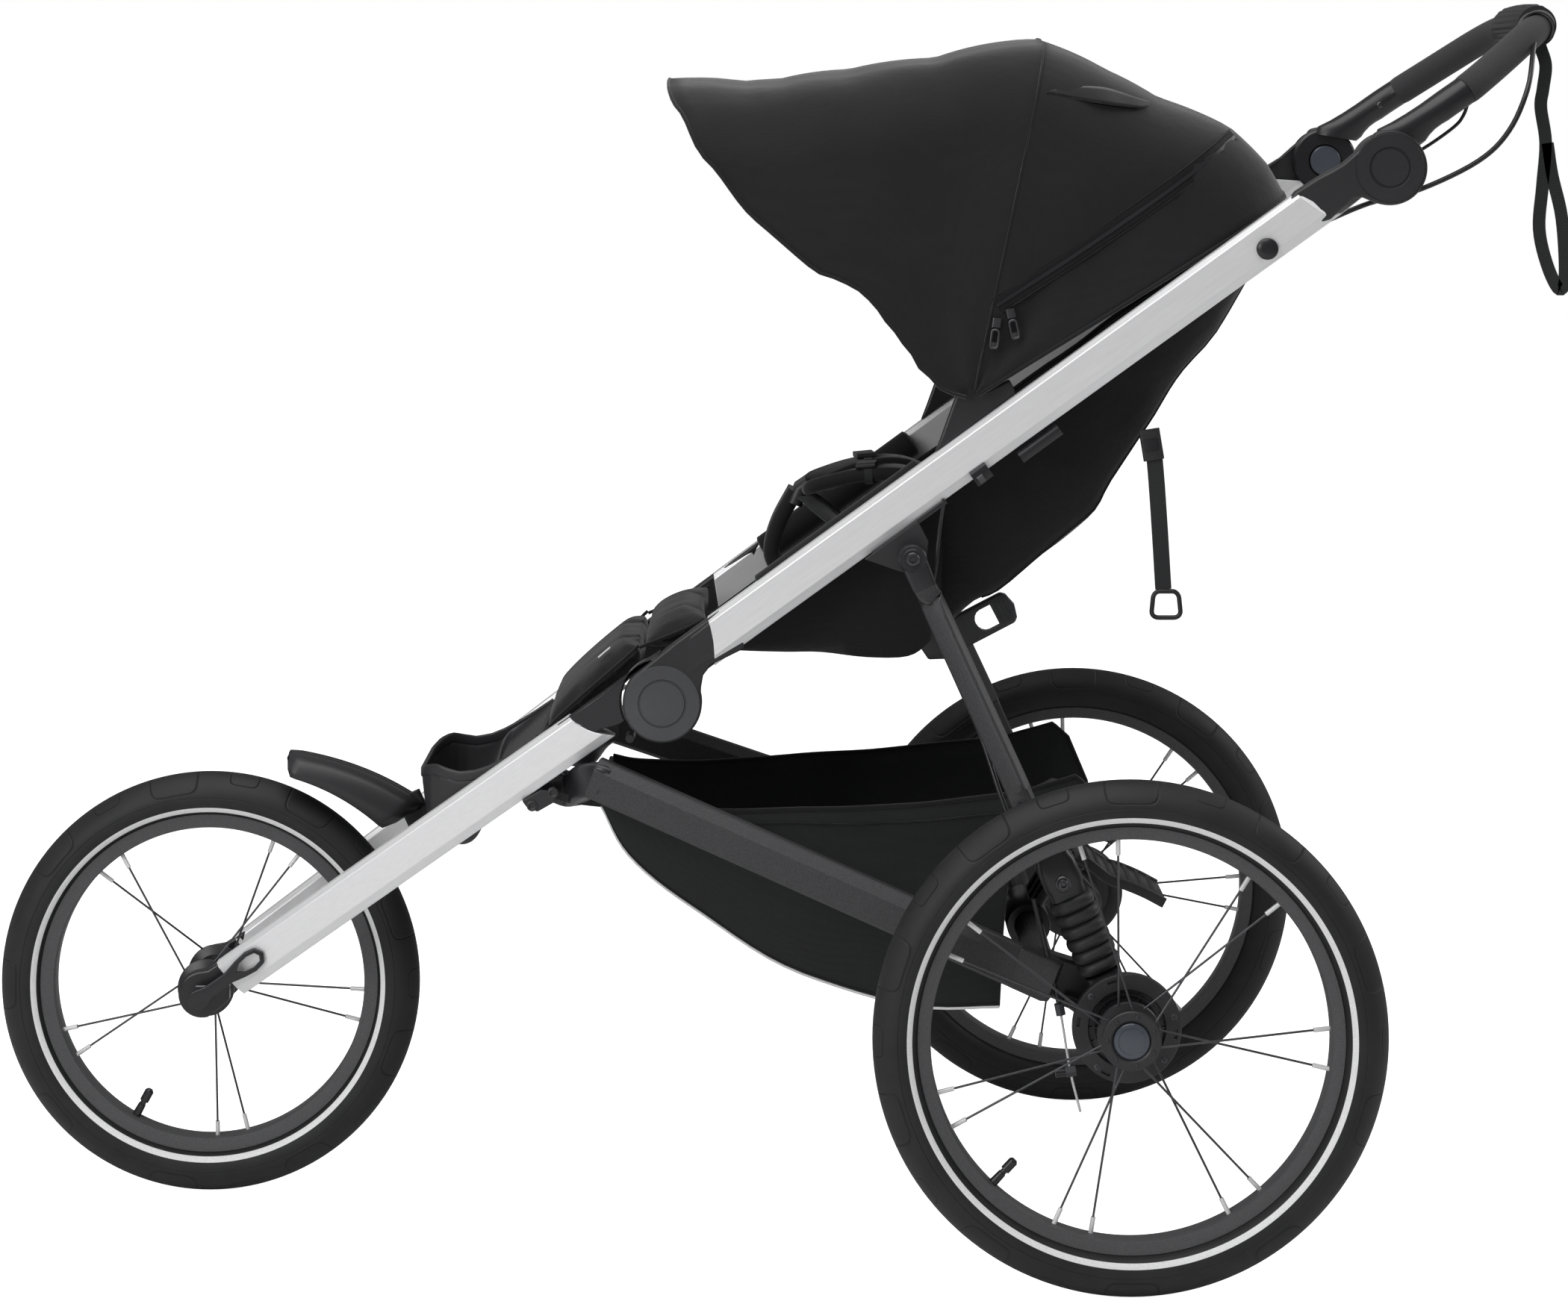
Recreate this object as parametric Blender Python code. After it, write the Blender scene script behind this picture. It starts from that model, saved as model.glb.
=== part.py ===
"""Three-wheel jogging stroller: one named object per piece, in metres.

Z is up, forward is -X and the left side is -Y. The shapes are drawn with the
rear axle at x = 0. One empty then carries them all, so that the world origin is
on the ground, at the middle of the length and the width.
"""

import math

import bmesh
import bpy
from mathutils import Vector

GAP = 0.0003

# Wheels: 18 x 1.75 rear and 16 x 1.75 front.
REAR_R = 0.2245
FRONT_R = 0.1995
TYRE_SECTION = 0.0235
TRACK_HALF = 0.320
REAR_AXLE = (0.0, REAR_R)
FRONT_AXLE = (-0.8478, FRONT_R)
REAR_PAIRS = (150.1, 99.2, 47.8, -3.1, -55.2, -107.0, -158.8)
FRONT_PAIRS = (130.5, 60.5, -9.2, -81.8, -156.2)
SPOKE_R = 0.0011

# Main frame: the rails lie on one straight line in side view.
RAIL_AT = (-0.3595, 0.5522)
RAIL_SLOPE = 0.7302
RAIL_FLARE = 0.2434
RAIL_H = 0.039
RAIL_W = 0.022
HINGE = (-0.4118, 0.4906)
HINGE_R = 0.036
KNUCKLE = (-0.530, 0.4104)
STRUT_TOP = (-0.184, 0.6238)
ARM_PIVOT = (-0.070, 0.261)
HANDLE_PIVOT = (0.243, 0.979)
BAR_CENTRE = (0.405, 1.110)
TWIST_R = 0.0215
CANOPY_PIVOT = (-0.130, 0.770)
CANOPY_HALF = 0.186
BACK_PIVOT = (-0.125, 0.606)
LATCH_PIVOT = (-0.1620, 0.5170)
PULL_ANGLE = 27.5

FRONT_END = FRONT_AXLE[0] - FRONT_R
REAR_END = BAR_CENTRE[0] + TWIST_R
MIDDLE = (FRONT_END + REAR_END) / 2

LEFT = -1
RIGHT = 1
SIDES = ((LEFT, "left"), (RIGHT, "right"))

PAINTS = {
    "rail": ((0.80, 0.80, 0.81), 0.28, 0.9),
    "dark_tube": ((0.060, 0.060, 0.064), 0.45, 0.5),
    "black_plastic": ((0.018, 0.018, 0.020), 0.5, 0.0),
    "grey_plastic": ((0.075, 0.082, 0.095), 0.35, 0.0),
    "tyre": ((0.021, 0.021, 0.022), 0.75, 0.0),
    "rim": ((0.055, 0.055, 0.058), 0.5, 0.4),
    "steel": ((0.11, 0.11, 0.12), 0.3, 0.9),
    "foam": ((0.030, 0.030, 0.032), 0.85, 0.0),
    "rubber": ((0.016, 0.016, 0.017), 0.6, 0.0),
    "fabric": ((0.014, 0.014, 0.015), 0.9, 0.0),
    "grey_fabric": ((0.026, 0.027, 0.028), 0.85, 0.0),
}


def clear_scene():
    for obj in list(bpy.data.objects):
        bpy.data.objects.remove(obj, do_unlink=True)


def paint(name):
    found = bpy.data.materials.get(name)
    if found:
        return found
    colour, roughness, metallic = PAINTS[name]
    material = bpy.data.materials.new(name)
    material.use_nodes = True
    shader = material.node_tree.nodes["Principled BSDF"]
    shader.inputs["Base Color"].default_value = (*colour, 1.0)
    shader.inputs["Roughness"].default_value = roughness
    shader.inputs["Metallic"].default_value = metallic
    return material


def rail_z(x):
    return RAIL_AT[1] + RAIL_SLOPE * (x - RAIL_AT[0])


def solid(name, points, faces, material, origin=(0, 0, 0), smooth=True):
    """An object from world points, with its origin moved to its joint."""
    start = Vector(origin)
    mesh = bpy.data.meshes.new(name)
    mesh.from_pydata([Vector(p) - start for p in points], [], faces)
    work = bmesh.new()
    work.from_mesh(mesh)
    bmesh.ops.recalc_face_normals(work, faces=work.faces)
    work.to_mesh(mesh)
    work.free()
    obj = bpy.data.objects.new(name, mesh)
    obj.location = start
    bpy.context.scene.collection.objects.link(obj)
    mesh.materials.append(paint(material))
    if smooth:
        mesh.shade_smooth()
        mesh.set_sharp_from_angle(angle=math.radians(35))
    return obj


def loft(name, loops, material, origin=(0, 0, 0), closed=False, smooth=True):
    """Skins equal loops of points. Open lofts get a flat cap at each end."""
    count = len(loops[0])
    points = [p for loop in loops for p in loop]
    faces = []
    steps = len(loops) if closed else len(loops) - 1
    for i in range(steps):
        a = i * count
        b = ((i + 1) % len(loops)) * count
        for j in range(count):
            k = (j + 1) % count
            faces.append((a + j, a + k, b + k, b + j))
    if not closed:
        faces.append(tuple(range(count)))
        faces.append(tuple(range(len(points) - count, len(points))))
    return solid(name, points, faces, material, origin, smooth)


def prism(name, outline, y0, y1, material, origin=(0, 0, 0)):
    """A side-view outline of (x, z) pushed through from y0 to y1."""
    loops = [[(x, y, z) for x, z in outline] for y in (y0, y1)]
    return loft(name, loops, material, origin, smooth=False)


def disc_outline(centre, radius, count=24):
    turn = [2 * math.pi * i / count for i in range(count)]
    return [(centre[0] + radius * math.cos(a), centre[1] + radius * math.sin(a)) for a in turn]


def ring(name, profile, centre, count, material, origin=None):
    """A closed (radius, y) profile turned about a Y axis through centre (x, z)."""
    loops = []
    for i in range(count):
        a = 2 * math.pi * i / count
        loops.append(
            [(centre[0] + r * math.cos(a), y, centre[1] + r * math.sin(a)) for r, y in profile]
        )
    start = origin or (centre[0], sum(y for _, y in profile) / len(profile), centre[1])
    return loft(name, loops, material, start, closed=True)


def stack(name, profile, centre, count, material, origin=None):
    """A solid turned about Y: circles of (radius, y), capped at both ends."""
    loops = [[(x, y, z) for x, z in disc_outline(centre, r, count)] for r, y in profile]
    start = origin or (centre[0], profile[0][1], centre[1])
    return loft(name, loops, material, start)


def section(width, height, chamfer):
    """A flat-faced tube section with cut corners, as (across, up)."""
    w = width / 2
    h = height / 2
    c = chamfer
    return [(w, -h + c), (w, h - c), (w - c, h), (-w + c, h),
            (-w, h - c), (-w, -h + c), (-w + c, -h), (w - c, -h)]


def circle(radius, count=10):
    turn = [2 * math.pi * (i + 0.5) / count for i in range(count)]
    return [(radius * math.cos(a), radius * math.sin(a)) for a in turn]


def sweep_loops(path, shape, up=(0, 0, 1)):
    """The shape (across, up) carried along a path, mitred at each corner."""
    pts = [Vector(p) for p in path]
    loops = []
    for i, point in enumerate(pts):
        ahead = (pts[min(i + 1, len(pts) - 1)] - point).normalized()
        behind = (point - pts[max(i - 1, 0)]).normalized()
        along = (ahead + behind).normalized()
        across = along.cross(Vector(up)).normalized()
        over = across.cross(along).normalized()
        stretch = 1.0
        if ahead.length and behind.length:
            stretch = 1.0 / max(0.7, along.dot(ahead))
        flat = (ahead - behind)
        bend = Vector((0, 0, 0))
        if flat.length > 1e-6 and ahead.length and behind.length:
            bend = flat.normalized()
        loop = []
        for a, u in shape:
            offset = across * a + over * u
            offset += bend * offset.dot(bend) * (stretch - 1)
            loop.append(point + offset)
        loops.append(loop)
    return loops


def sweep(name, path, shape, material, origin=(0, 0, 0), up=(0, 0, 1)):
    return loft(name, sweep_loops(path, shape, up), material, origin)


def sleeve(name, path, outer, inner, material, origin, count=12):
    """A hollow tube along a path."""
    big = sweep_loops(path, circle(outer, count))
    small = sweep_loops(path, circle(inner, count))
    points = [p for loop in big + small for p in loop]
    faces = []
    n = len(path)
    for i in range(n - 1):
        for j in range(count):
            k = (j + 1) % count
            a = i * count
            faces.append((a + j, a + k, a + count + k, a + count + j))
            b = (n + i) * count
            faces.append((b + j, b + count + j, b + count + k, b + k))
    for end in (0, n - 1):
        for j in range(count):
            k = (j + 1) % count
            a = end * count
            b = (n + end) * count
            faces.append((a + j, b + j, b + k, a + k))
    return solid(name, points, faces, material, origin)


def join(target, others, operation="UNION"):
    """Applies one exact Boolean for each helper, then removes the helper."""
    for other in others:
        modifier = target.modifiers.new("join", "BOOLEAN")
        modifier.operation = operation
        modifier.solver = "EXACT"
        modifier.object = other
        bpy.context.view_layer.update()
        graph = bpy.context.evaluated_depsgraph_get()
        mesh = bpy.data.meshes.new_from_object(target.evaluated_get(graph))
        target.modifiers.clear()
        target.data = mesh
        bpy.data.objects.remove(other, do_unlink=True)
    target.data.name = target.name
    while len(target.data.materials) > 1:
        target.data.materials.pop()
    return target


def tyre_profile(outer, y):
    mid = outer - TYRE_SECTION
    sides = 8
    turn = [2 * math.pi * (i + 0.5) / sides for i in range(sides)]
    fit = TYRE_SECTION / math.cos(math.pi / sides)
    return [(mid + fit * math.cos(a), y + fit * math.sin(a)) for a in turn]


def wheel(prefix, axle, y, outer, rim_in, rim_out, pairs, spread, hub, flanges, steps):
    origin = (axle[0], y, axle[1])
    ring(prefix + "_tyre", tyre_profile(outer, y), axle, steps, "tyre", origin)
    bead = outer - 2 * TYRE_SECTION - GAP - 0.0008
    rim = [(rim_in, y - 0.008), (rim_in, y + 0.008), (bead - 0.006, y + 0.013),
           (bead, y + 0.013), (bead, y - 0.013), (bead - 0.006, y - 0.013)]
    ring(prefix + "_rim", rim, axle, steps, "rim", origin)
    spokes = []
    reach = rim_in * math.cos(math.pi / steps) - 0.0006
    for i, angle in enumerate(pairs):
        for side in (-1, 1):
            far = math.radians(angle + side * spread)
            near = math.radians(angle - side * 12.0)
            a = (axle[0] + 0.014 * math.cos(near), flanges[side > 0], axle[1] + 0.014 * math.sin(near))
            b = (axle[0] + reach * math.cos(far), y + side * 0.003, axle[1] + reach * math.sin(far))
            spokes.append(sweep(f"spoke_{i}_{side}", [a, b], circle(SPOKE_R, 4), "steel", up=(0, 1, 0)))
    hub.name = prefix + "_hub_and_spokes"
    join(hub, spokes)
    hub.data.materials[0] = paint("steel")


def front_wheel():
    profile = [(0.0052, -0.041), (0.0052, 0.041), (0.016, 0.041), (0.027, 0.034), (0.027, 0.029),
               (0.017, 0.024), (0.017, -0.024), (0.027, -0.029), (0.027, -0.034), (0.016, -0.041)]
    hub = ring("hub", profile, FRONT_AXLE, 24, "steel", (FRONT_AXLE[0], 0, FRONT_AXLE[1]))
    wheel("front", FRONT_AXLE, 0.0, FRONT_R, 0.1472, 0.162, FRONT_PAIRS, 5.5, hub, (-0.0315, 0.0315), 36)
    x, z = FRONT_AXLE
    rod = [(0.0048, -0.0447), (0.0048, 0.0447)]
    stack("front_axle", rod, FRONT_AXLE, 16, "steel", (x, 0, z))


def rear_wheel(side, label):
    y = side * TRACK_HALF
    face = y + side * 0.014
    back = y - side * 0.0305
    pocket = face - side * 0.0052
    bore = y - side * 0.0045
    profile = [(0.0163, face), (0.026, face), (0.026, back), (0.0064, back),
               (0.0064, bore), (0.0001, bore), (0.0001, pocket), (0.0163, pocket)]
    hub = ring("hub", profile, REAR_AXLE, 24, "steel", (0, y, REAR_R))
    flanges = (y - side * 0.017, y + side * 0.006)
    wheel(f"rear_{label}", REAR_AXLE, y, REAR_R, 0.1740, 0.186, REAR_PAIRS, 5.6, hub, flanges, 36)
    cap = [(0.0157, face + side * 0.001), (0.0157, face - side * 0.0018)]
    stack(f"hub_button_{label}", cap, REAR_AXLE, 24, "grey_plastic", (0, face, REAR_R))


def brake_drum(side):
    inner = side * 0.2768
    outer = side * 0.2891
    profile = [(0.044, inner), (0.048, inner + side * 0.004), (0.048, outer),
               (0.006, outer), (0.006, side * 0.3145)]
    return stack("drum", profile, REAR_AXLE, 32, "black_plastic")


def swing_arm(side, label):
    y = side * 0.247
    px, pz = ARM_PIVOT
    origin = (px, y, pz)
    arm = sweep("arm", [(px, side * 0.2345, pz), (0.004, side * 0.2345, 0.222)],
                section(0.023, 0.030, 0.005), "black_plastic", origin)
    pivot = stack("pivot", [(0.021, side * 0.2225), (0.021, side * 0.2465)], ARM_PIVOT, 20, "black_plastic")
    eye = stack("eye", [(0.022, side * 0.2225), (0.022, side * 0.2790)], REAR_AXLE, 20, "black_plastic")
    boss = sweep("boss", [(0.0, side * 0.252, 0.2245), (-0.0185, side * 0.252, 0.2668)],
                 section(0.028, 0.028, 0.006), "black_plastic", up=(0, 1, 0))
    arm.name = f"swing_arm_{label}"
    join(arm, [pivot, eye, boss, brake_drum(side)])


def bellows(side, label):
    """Seven folds around the rear spring, from the strut's block to the arm."""
    top = Vector((-0.0475, side * 0.252, 0.3325))
    base = Vector((-0.0197, side * 0.252, 0.2694))
    folds = 7
    loops = []
    for i in range(2 * folds + 1):
        share = i / (2 * folds)
        point = top.lerp(base, share)
        size = 0.0165 if i % 2 == 0 else 0.0190
        along = (base - top).normalized()
        across = Vector((0, 1, 0))
        over = across.cross(along)
        loops.append([point + across * a * size + over * b * size for a, b in circle(1.0, 14)])
    loft(f"bellows_{label}", loops, "rubber", tuple(base))


def strut(side, label):
    origin = (STRUT_TOP[0], side * 0.196, STRUT_TOP[1])
    top = (STRUT_TOP[0] - 0.006, side * 0.196, STRUT_TOP[1] + 0.013)
    path = [top, (-0.170, side * 0.1962, 0.5930), (-0.0895, side * 0.2465, 0.418),
            (-0.066, side * 0.252, 0.366)]
    bar = sweep("bar", path, section(0.0145, 0.023, 0.004), "dark_tube", origin)
    block = sweep("block", [(-0.0645, side * 0.252, 0.371), (-0.0479, side * 0.252, 0.3331)],
                  section(0.030, 0.036, 0.007), "dark_tube")
    bar.name = f"strut_{label}"
    join(bar, [block])


def stay(side, label):
    """Rear frame tube with its front knuckle and its rear end cap in one piece."""
    kx, kz = KNUCKLE
    origin = (kx, side * 0.105, kz)
    path = [(-0.472, side * 0.153, 0.4205), (-0.094, side * 0.2605, 0.2735), (-0.070, side * 0.2605, 0.264)]
    tube = sweep("tube", path, section(0.022, 0.034, 0.006), "dark_tube", origin)
    cap = sweep("cap", [(-0.104, side * 0.2605, 0.2775), (-0.058, side * 0.2605, 0.2595)],
                section(0.0255, 0.038, 0.007), "dark_tube")
    knuckle = sweep("knuckle", [(kx, side * 0.0995, kz), (-0.497, side * 0.1030, 0.3985),
                                (-0.477, side * 0.147, 0.4165), (-0.464, side * 0.156, 0.4180)],
                    section(0.021, 0.026, 0.005), "black_plastic")
    eye = stack("eye", [(0.0165, side * 0.0905), (0.0165, side * 0.1085)], KNUCKLE, 20, "black_plastic")
    tube.name = f"rear_stay_{label}"
    join(tube, [cap, knuckle, eye])


def rear_frame():
    x, z = ARM_PIVOT
    stack("rear_cross_tube", [(0.013, -0.2222), (0.013, 0.2222)], ARM_PIVOT, 20, "dark_tube", (x, 0, z))
    collar = ring("brake_pedal", [(0.0133, -0.03), (0.0133, 0.03), (0.021, 0.03), (0.021, -0.03)],
                  ARM_PIVOT, 20, "black_plastic", (x, 0, z))
    neck = sweep("neck", [(x + 0.011, 0, z + 0.014), (-0.014, 0, 0.312)],
                 section(0.030, 0.016, 0.003), "black_plastic")
    tread = sweep("tread", [(-0.024, 0, 0.322), (0.006, 0, 0.301), (0.058, 0, 0.280)],
                  section(0.090, 0.014, 0.004), "black_plastic")
    join(collar, [neck, tread])


def lower_rail(side, label):
    def at(x):
        return (x, side * (0.054 + RAIL_FLARE * (x + 0.83)), rail_z(x))

    sweep(f"lower_rail_{label}", [at(-0.822), at(-0.487)], section(RAIL_W, RAIL_H, 0.006), "rail")
    fork = sweep("fork", [at(-0.8224 - 0.012), at(-0.8224)], section(0.019, 0.034, 0.006), "black_plastic")
    eye = stack("eye", [(0.0215, side * 0.045), (0.0215, side * 0.0600)], FRONT_AXLE, 24, "black_plastic")
    eye.name = f"front_dropout_{label}"
    join(eye, [fork])

    body = sweep("body", [at(-0.4866), at(-0.4540)], section(0.0225, 0.038, 0.006), "black_plastic")
    lug = stack("lug", [(0.034, side * 0.1370), (0.034, side * 0.1510)], HINGE, 28, "black_plastic")
    outline = [(-0.462, 0.480), (-0.436, 0.506), (-0.405, 0.522), (-0.385, 0.500), (-0.440, 0.470)]
    web = prism("web", outline, side * 0.1375, side * 0.1505, "black_plastic")
    body.name = f"lower_hinge_{label}"
    join(body, [web, lug])


def upper_rail(side, label):
    def at(x):
        return (x, side * (0.1600 + 0.0700 * (x + 0.37)), rail_z(x))

    origin = (HINGE[0], side * 0.16, HINGE[1])
    disc = stack("disc", [(HINGE_R, side * 0.1519), (HINGE_R, side * 0.1685), (0.034, side * 0.1705)],
                 HINGE, 32, "black_plastic", origin)
    arm = sweep("arm", [at(-0.412), at(-0.3605)], section(0.0165, 0.037, 0.005), "black_plastic")
    arm.location.y += side * 0.003
    disc.name = f"upper_hinge_{label}"
    join(disc, [arm])
    sweep(f"upper_rail_{label}", [at(-0.360), at(0.165)], section(RAIL_W, RAIL_H, 0.006), "rail", origin)

    x, z = STRUT_TOP
    plate = [(x - 0.034, z + 0.024), (x + 0.040, z + 0.078), (x + 0.022, z + 0.012), (x + 0.004, z - 0.014),
             (x - 0.010, z - 0.014)]
    prism(f"strut_bracket_{label}", plate, side * 0.2056, side * 0.2095, "black_plastic", origin)

    px, pz = HANDLE_PIVOT
    eye = stack("eye", [(0.0335, side * 0.2030), (0.0335, side * 0.2150), (0.0315, side * 0.2170)],
                HANDLE_PIVOT, 32, "black_plastic", origin)
    neck = sweep("neck", [at(0.1657), at(0.186)], section(0.021, 0.036, 0.006), "black_plastic")
    wing = sweep("wing", [(0.180, side * 0.2080, 0.944), (px - 0.005, side * 0.2095, pz - 0.003)],
                 section(0.012, 0.034, 0.003), "black_plastic")
    eye.name = f"handle_bracket_{label}"
    join(eye, [neck, wing])


def handlebar():
    px, pz = HANDLE_PIVOT
    bx, bz = BAR_CENTRE
    origin = (px, 0, pz)
    turns = [(0.2490, 0.1920, 0.9960), (0.2743, 0.1890, 1.0185), (0.3188, 0.1815, 1.0500),
             (0.3400, 0.1640, 1.0655), (0.3620, 0.1420, 1.0815), (0.3820, 0.1200, 1.0960),
             (0.3970, 0.0980, 1.1060), (bx, 0.0780, bz)]
    right = [Vector(p) for p in turns]
    left = [Vector((p[0], -p[1], p[2])) for p in turns]
    tube = sweep("handlebar", left + right[::-1], circle(0.0112, 12), "black_plastic", origin)
    lugs = []
    for side, label in SIDES:
        profile = [(0.0157, side * 0.1850), (0.026, side * 0.1850), (0.026, side * 0.2026),
                   (0.0001, side * 0.2026), (0.0001, side * 0.1895), (0.0157, side * 0.1895)]
        lug = ring("lug_" + label, profile, HANDLE_PIVOT, 28, "black_plastic")
        lugs.append(lug)
    pocket = [stack("pocket_" + label, [(0.0157, side * 0.1700), (0.0157, side * 0.1895)],
                    HANDLE_PIVOT, 28, "black_plastic") for side, label in SIDES]
    join(tube, pocket, "DIFFERENCE")
    join(tube, lugs)
    for side, label in SIDES:
        half = [Vector((p[0], side * p[1], p[2])) for p in turns]
        start = half[2].lerp(half[3], 0.08)
        path = [start] + half[3:] + [Vector((bx, side * 0.0665, bz))]
        sleeve(f"handle_grip_{label}", path, 0.0145, 0.0116, "foam", origin)
        cap = [(0.0152, side * 0.1805), (0.0152, side * 0.1852)]
        stack(f"handle_button_{label}", cap, HANDLE_PIVOT, 24, "grey_plastic", (px, side * 0.18, pz))
    twist = [(0.0116, -0.066), (0.0116, 0.066), (0.0185, 0.066), (TWIST_R, 0.040),
             (TWIST_R, -0.040), (0.0185, -0.066)]
    ring("hand_brake_twist", twist, BAR_CENTRE, 24, "black_plastic", (bx, 0, bz))


def front_details():
    x, z = FRONT_AXLE
    along = Vector((0.808, 0, 0.590))
    root = Vector((x, -0.0745, z))
    blade = [root - along * 0.008, root + along * 0.030 + Vector((0, -0.002, 0)),
             root + along * 0.074 + Vector((0, -0.010, 0))]
    lever = sweep("quick_release_lever", blade,
                  section(0.0075, 0.016, 0.002), "grey_plastic", tuple(root), up=(-0.590, 0, 0.808))
    join(lever, [stack("cam", [(0.008, -0.0665), (0.008, -0.0790)], FRONT_AXLE, 16, "grey_plastic")])

    loops = []
    for i in range(9):
        t = i / 8
        a = math.radians(71.0 - 31.5 * t)
        crown = 0.2325 + 0.033 * t ** 1.2
        skirt = 0.2095 + 0.0145 * t
        shoulder = crown - 0.008
        loop = []
        for y, r in ((-0.031, skirt), (-0.026, shoulder), (-0.012, crown), (0.012, crown),
                     (0.026, shoulder), (0.031, skirt), (0.028, skirt), (0.023, shoulder - 0.002),
                     (0.011, crown - 0.003),
                     (-0.011, crown - 0.003), (-0.023, shoulder - 0.002), (-0.028, skirt)):
            loop.append((x + r * math.cos(a), y, z + r * math.sin(a)))
        loops.append(loop)
    fender = loft("front_fender", loops, "black_plastic")
    tie = sweep("tie", [(-0.645, -0.0850, 0.3460), (-0.645, 0.0850, 0.3460)],
                section(0.020, 0.010, 0.002), "black_plastic")
    stem = sweep("stem", [(-0.6590, 0, 0.3765), (-0.6440, 0, 0.3420)],
                 section(0.024, 0.010, 0.002), "black_plastic")
    join(fender, [stem, tie])

    shell = cup("footwell", [(-0.6420, 0.4130), (-0.6385, 0.3880), (-0.6290, 0.3560), (-0.6130, 0.3440),
                             (-0.5930, 0.3460), (-0.5780, 0.3690), (-0.5715, 0.4030), (-0.5240, 0.4440),
                             (-0.5270, 0.4480), (-0.5573, 0.4300), (-0.5733, 0.4220), (-0.5865, 0.4165),
                             (-0.6020, 0.4145), (-0.6240, 0.4200)], 0.0)
    hollow = cup("hollow", [(-0.6385, 0.5200), (-0.6350, 0.3890), (-0.6265, 0.3590), (-0.6120, 0.3480),
                            (-0.5950, 0.3495), (-0.5840, 0.3710), (-0.5763, 0.4044), (-0.5100, 0.4617),
                            (-0.5100, 0.5200)], 0.0035)
    join(shell, [hollow], "DIFFERENCE")

    prism("storage_catch", [(-0.541, 0.389), (-0.522, 0.4065), (-0.5145, 0.3985), (-0.533, 0.3810)],
          -0.132, -0.1218, "black_plastic")


def cup(name, outline, inset):
    """A side outline whose width follows the rails, with its front corners cut off."""
    loops = []
    for side in (LEFT, RIGHT):
        loops.append([(x, side * (0.0905 - inset + RAIL_FLARE * (x + 0.632)), z) for x, z in outline])
    body = loft(name, loops, "black_plastic", smooth=False)
    corners = []
    for side in (LEFT, RIGHT):
        plan = [(-0.6600 + 0.83 * inset, 0.0310 - 0.55 * inset), (-0.6600 + 0.83 * inset, 0.1210),
                (-0.6000 + 0.83 * inset, 0.1210 - 0.55 * inset)]
        corners.append(loft("corner", [[(x, side * y, z) for x, y in plan] for z in (0.30, 0.56)],
                            "black_plastic", smooth=False))
    join(body, corners, "DIFFERENCE")
    return body


def along_pull(s, n):
    """A side-view point of the fold handle: s out from its pivot along it, n across it."""
    lean = math.radians(PULL_ANGLE)
    return (LATCH_PIVOT[0] + s * math.cos(lean) - n * math.sin(lean),
            LATCH_PIVOT[1] + s * math.sin(lean) + n * math.cos(lean))


def fold_handle():
    """Upright grip plate behind the seat, with a finger window through it."""
    outline = [(-0.0060, -0.0090), (-0.0080, 0.0090), (-0.0030, 0.0185), (0.0080, 0.0157), (0.0840, 0.0157),
               (0.0880, 0.0120), (0.0912, 0.0), (0.0880, -0.0120), (0.0840, -0.0157), (0.0080, -0.0157)]
    window = [(0.0515, -0.0113), (0.0515, 0.0106), (0.0700, 0.0106), (0.0700, -0.0113)]
    x, z = LATCH_PIVOT
    grip = prism("fold_handle", [along_pull(s, n) for s, n in outline], -0.006, 0.006,
                 "black_plastic", (x, 0, z))
    hole = prism("hole", [along_pull(s, n) for s, n in window], -0.020, 0.020, "black_plastic")
    join(grip, [hole], "DIFFERENCE")


def seat():
    pad = [(-0.5253, 0.4540), (-0.5135, 0.4755), (-0.4877, 0.502), (-0.4509, 0.5325), (-0.4318, 0.547),
           (-0.4082, 0.5525), (-0.390, 0.560), (-0.386, 0.530), (-0.417, 0.520), (-0.452, 0.497),
           (-0.500, 0.455)]
    prism("leg_rest", pad, -0.118, 0.118, "fabric")
    pan = [(-0.383, 0.537), (-0.3815, 0.566), (-0.345, 0.576), (-0.190, 0.583), (-0.158, 0.560),
           (-0.172, 0.533), (-0.225, 0.525), (-0.267, 0.531), (-0.341, 0.5315)]
    prism("seat_pan", pan, -0.138, 0.138, "fabric", (HINGE[0], 0, HINGE[1]))
    back = [(-0.156, 0.604), (-0.128, 0.588), (-0.106, 0.5905), (-0.072, 0.621), (-0.018, 0.667),
            (0.033, 0.743), (0.067, 0.791), (0.098, 0.835), (0.128, 0.893), (0.108, 0.902),
            (0.060, 0.842), (0.010, 0.776),
            (-0.060, 0.690), (-0.140, 0.632)]
    x, z = BACK_PIVOT
    origin = (x, 0, z)
    prism("seat_back", back, -0.140, 0.140, "fabric", origin)
    harness = [(-0.3154, 0.618), (-0.2855, 0.6720), (-0.2608, 0.679), (-0.202, 0.701), (-0.130, 0.690),
               (-0.142, 0.6345), (-0.160, 0.6060), (-0.290, 0.590)]
    prism("harness", harness, -0.060, 0.060, "grey_fabric", origin)
    strap = [(0.0310, 0.7300), (0.0400, 0.7440), (0.0535, 0.585), (0.0430, 0.585)]
    prism("recline_strap", strap, -0.165, -0.1404, "grey_fabric", origin)
    fold_handle()
    stack("hinge_cross_tube", [(0.010, -0.1366), (0.010, 0.1366)], HINGE, 16, "dark_tube")


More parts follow.
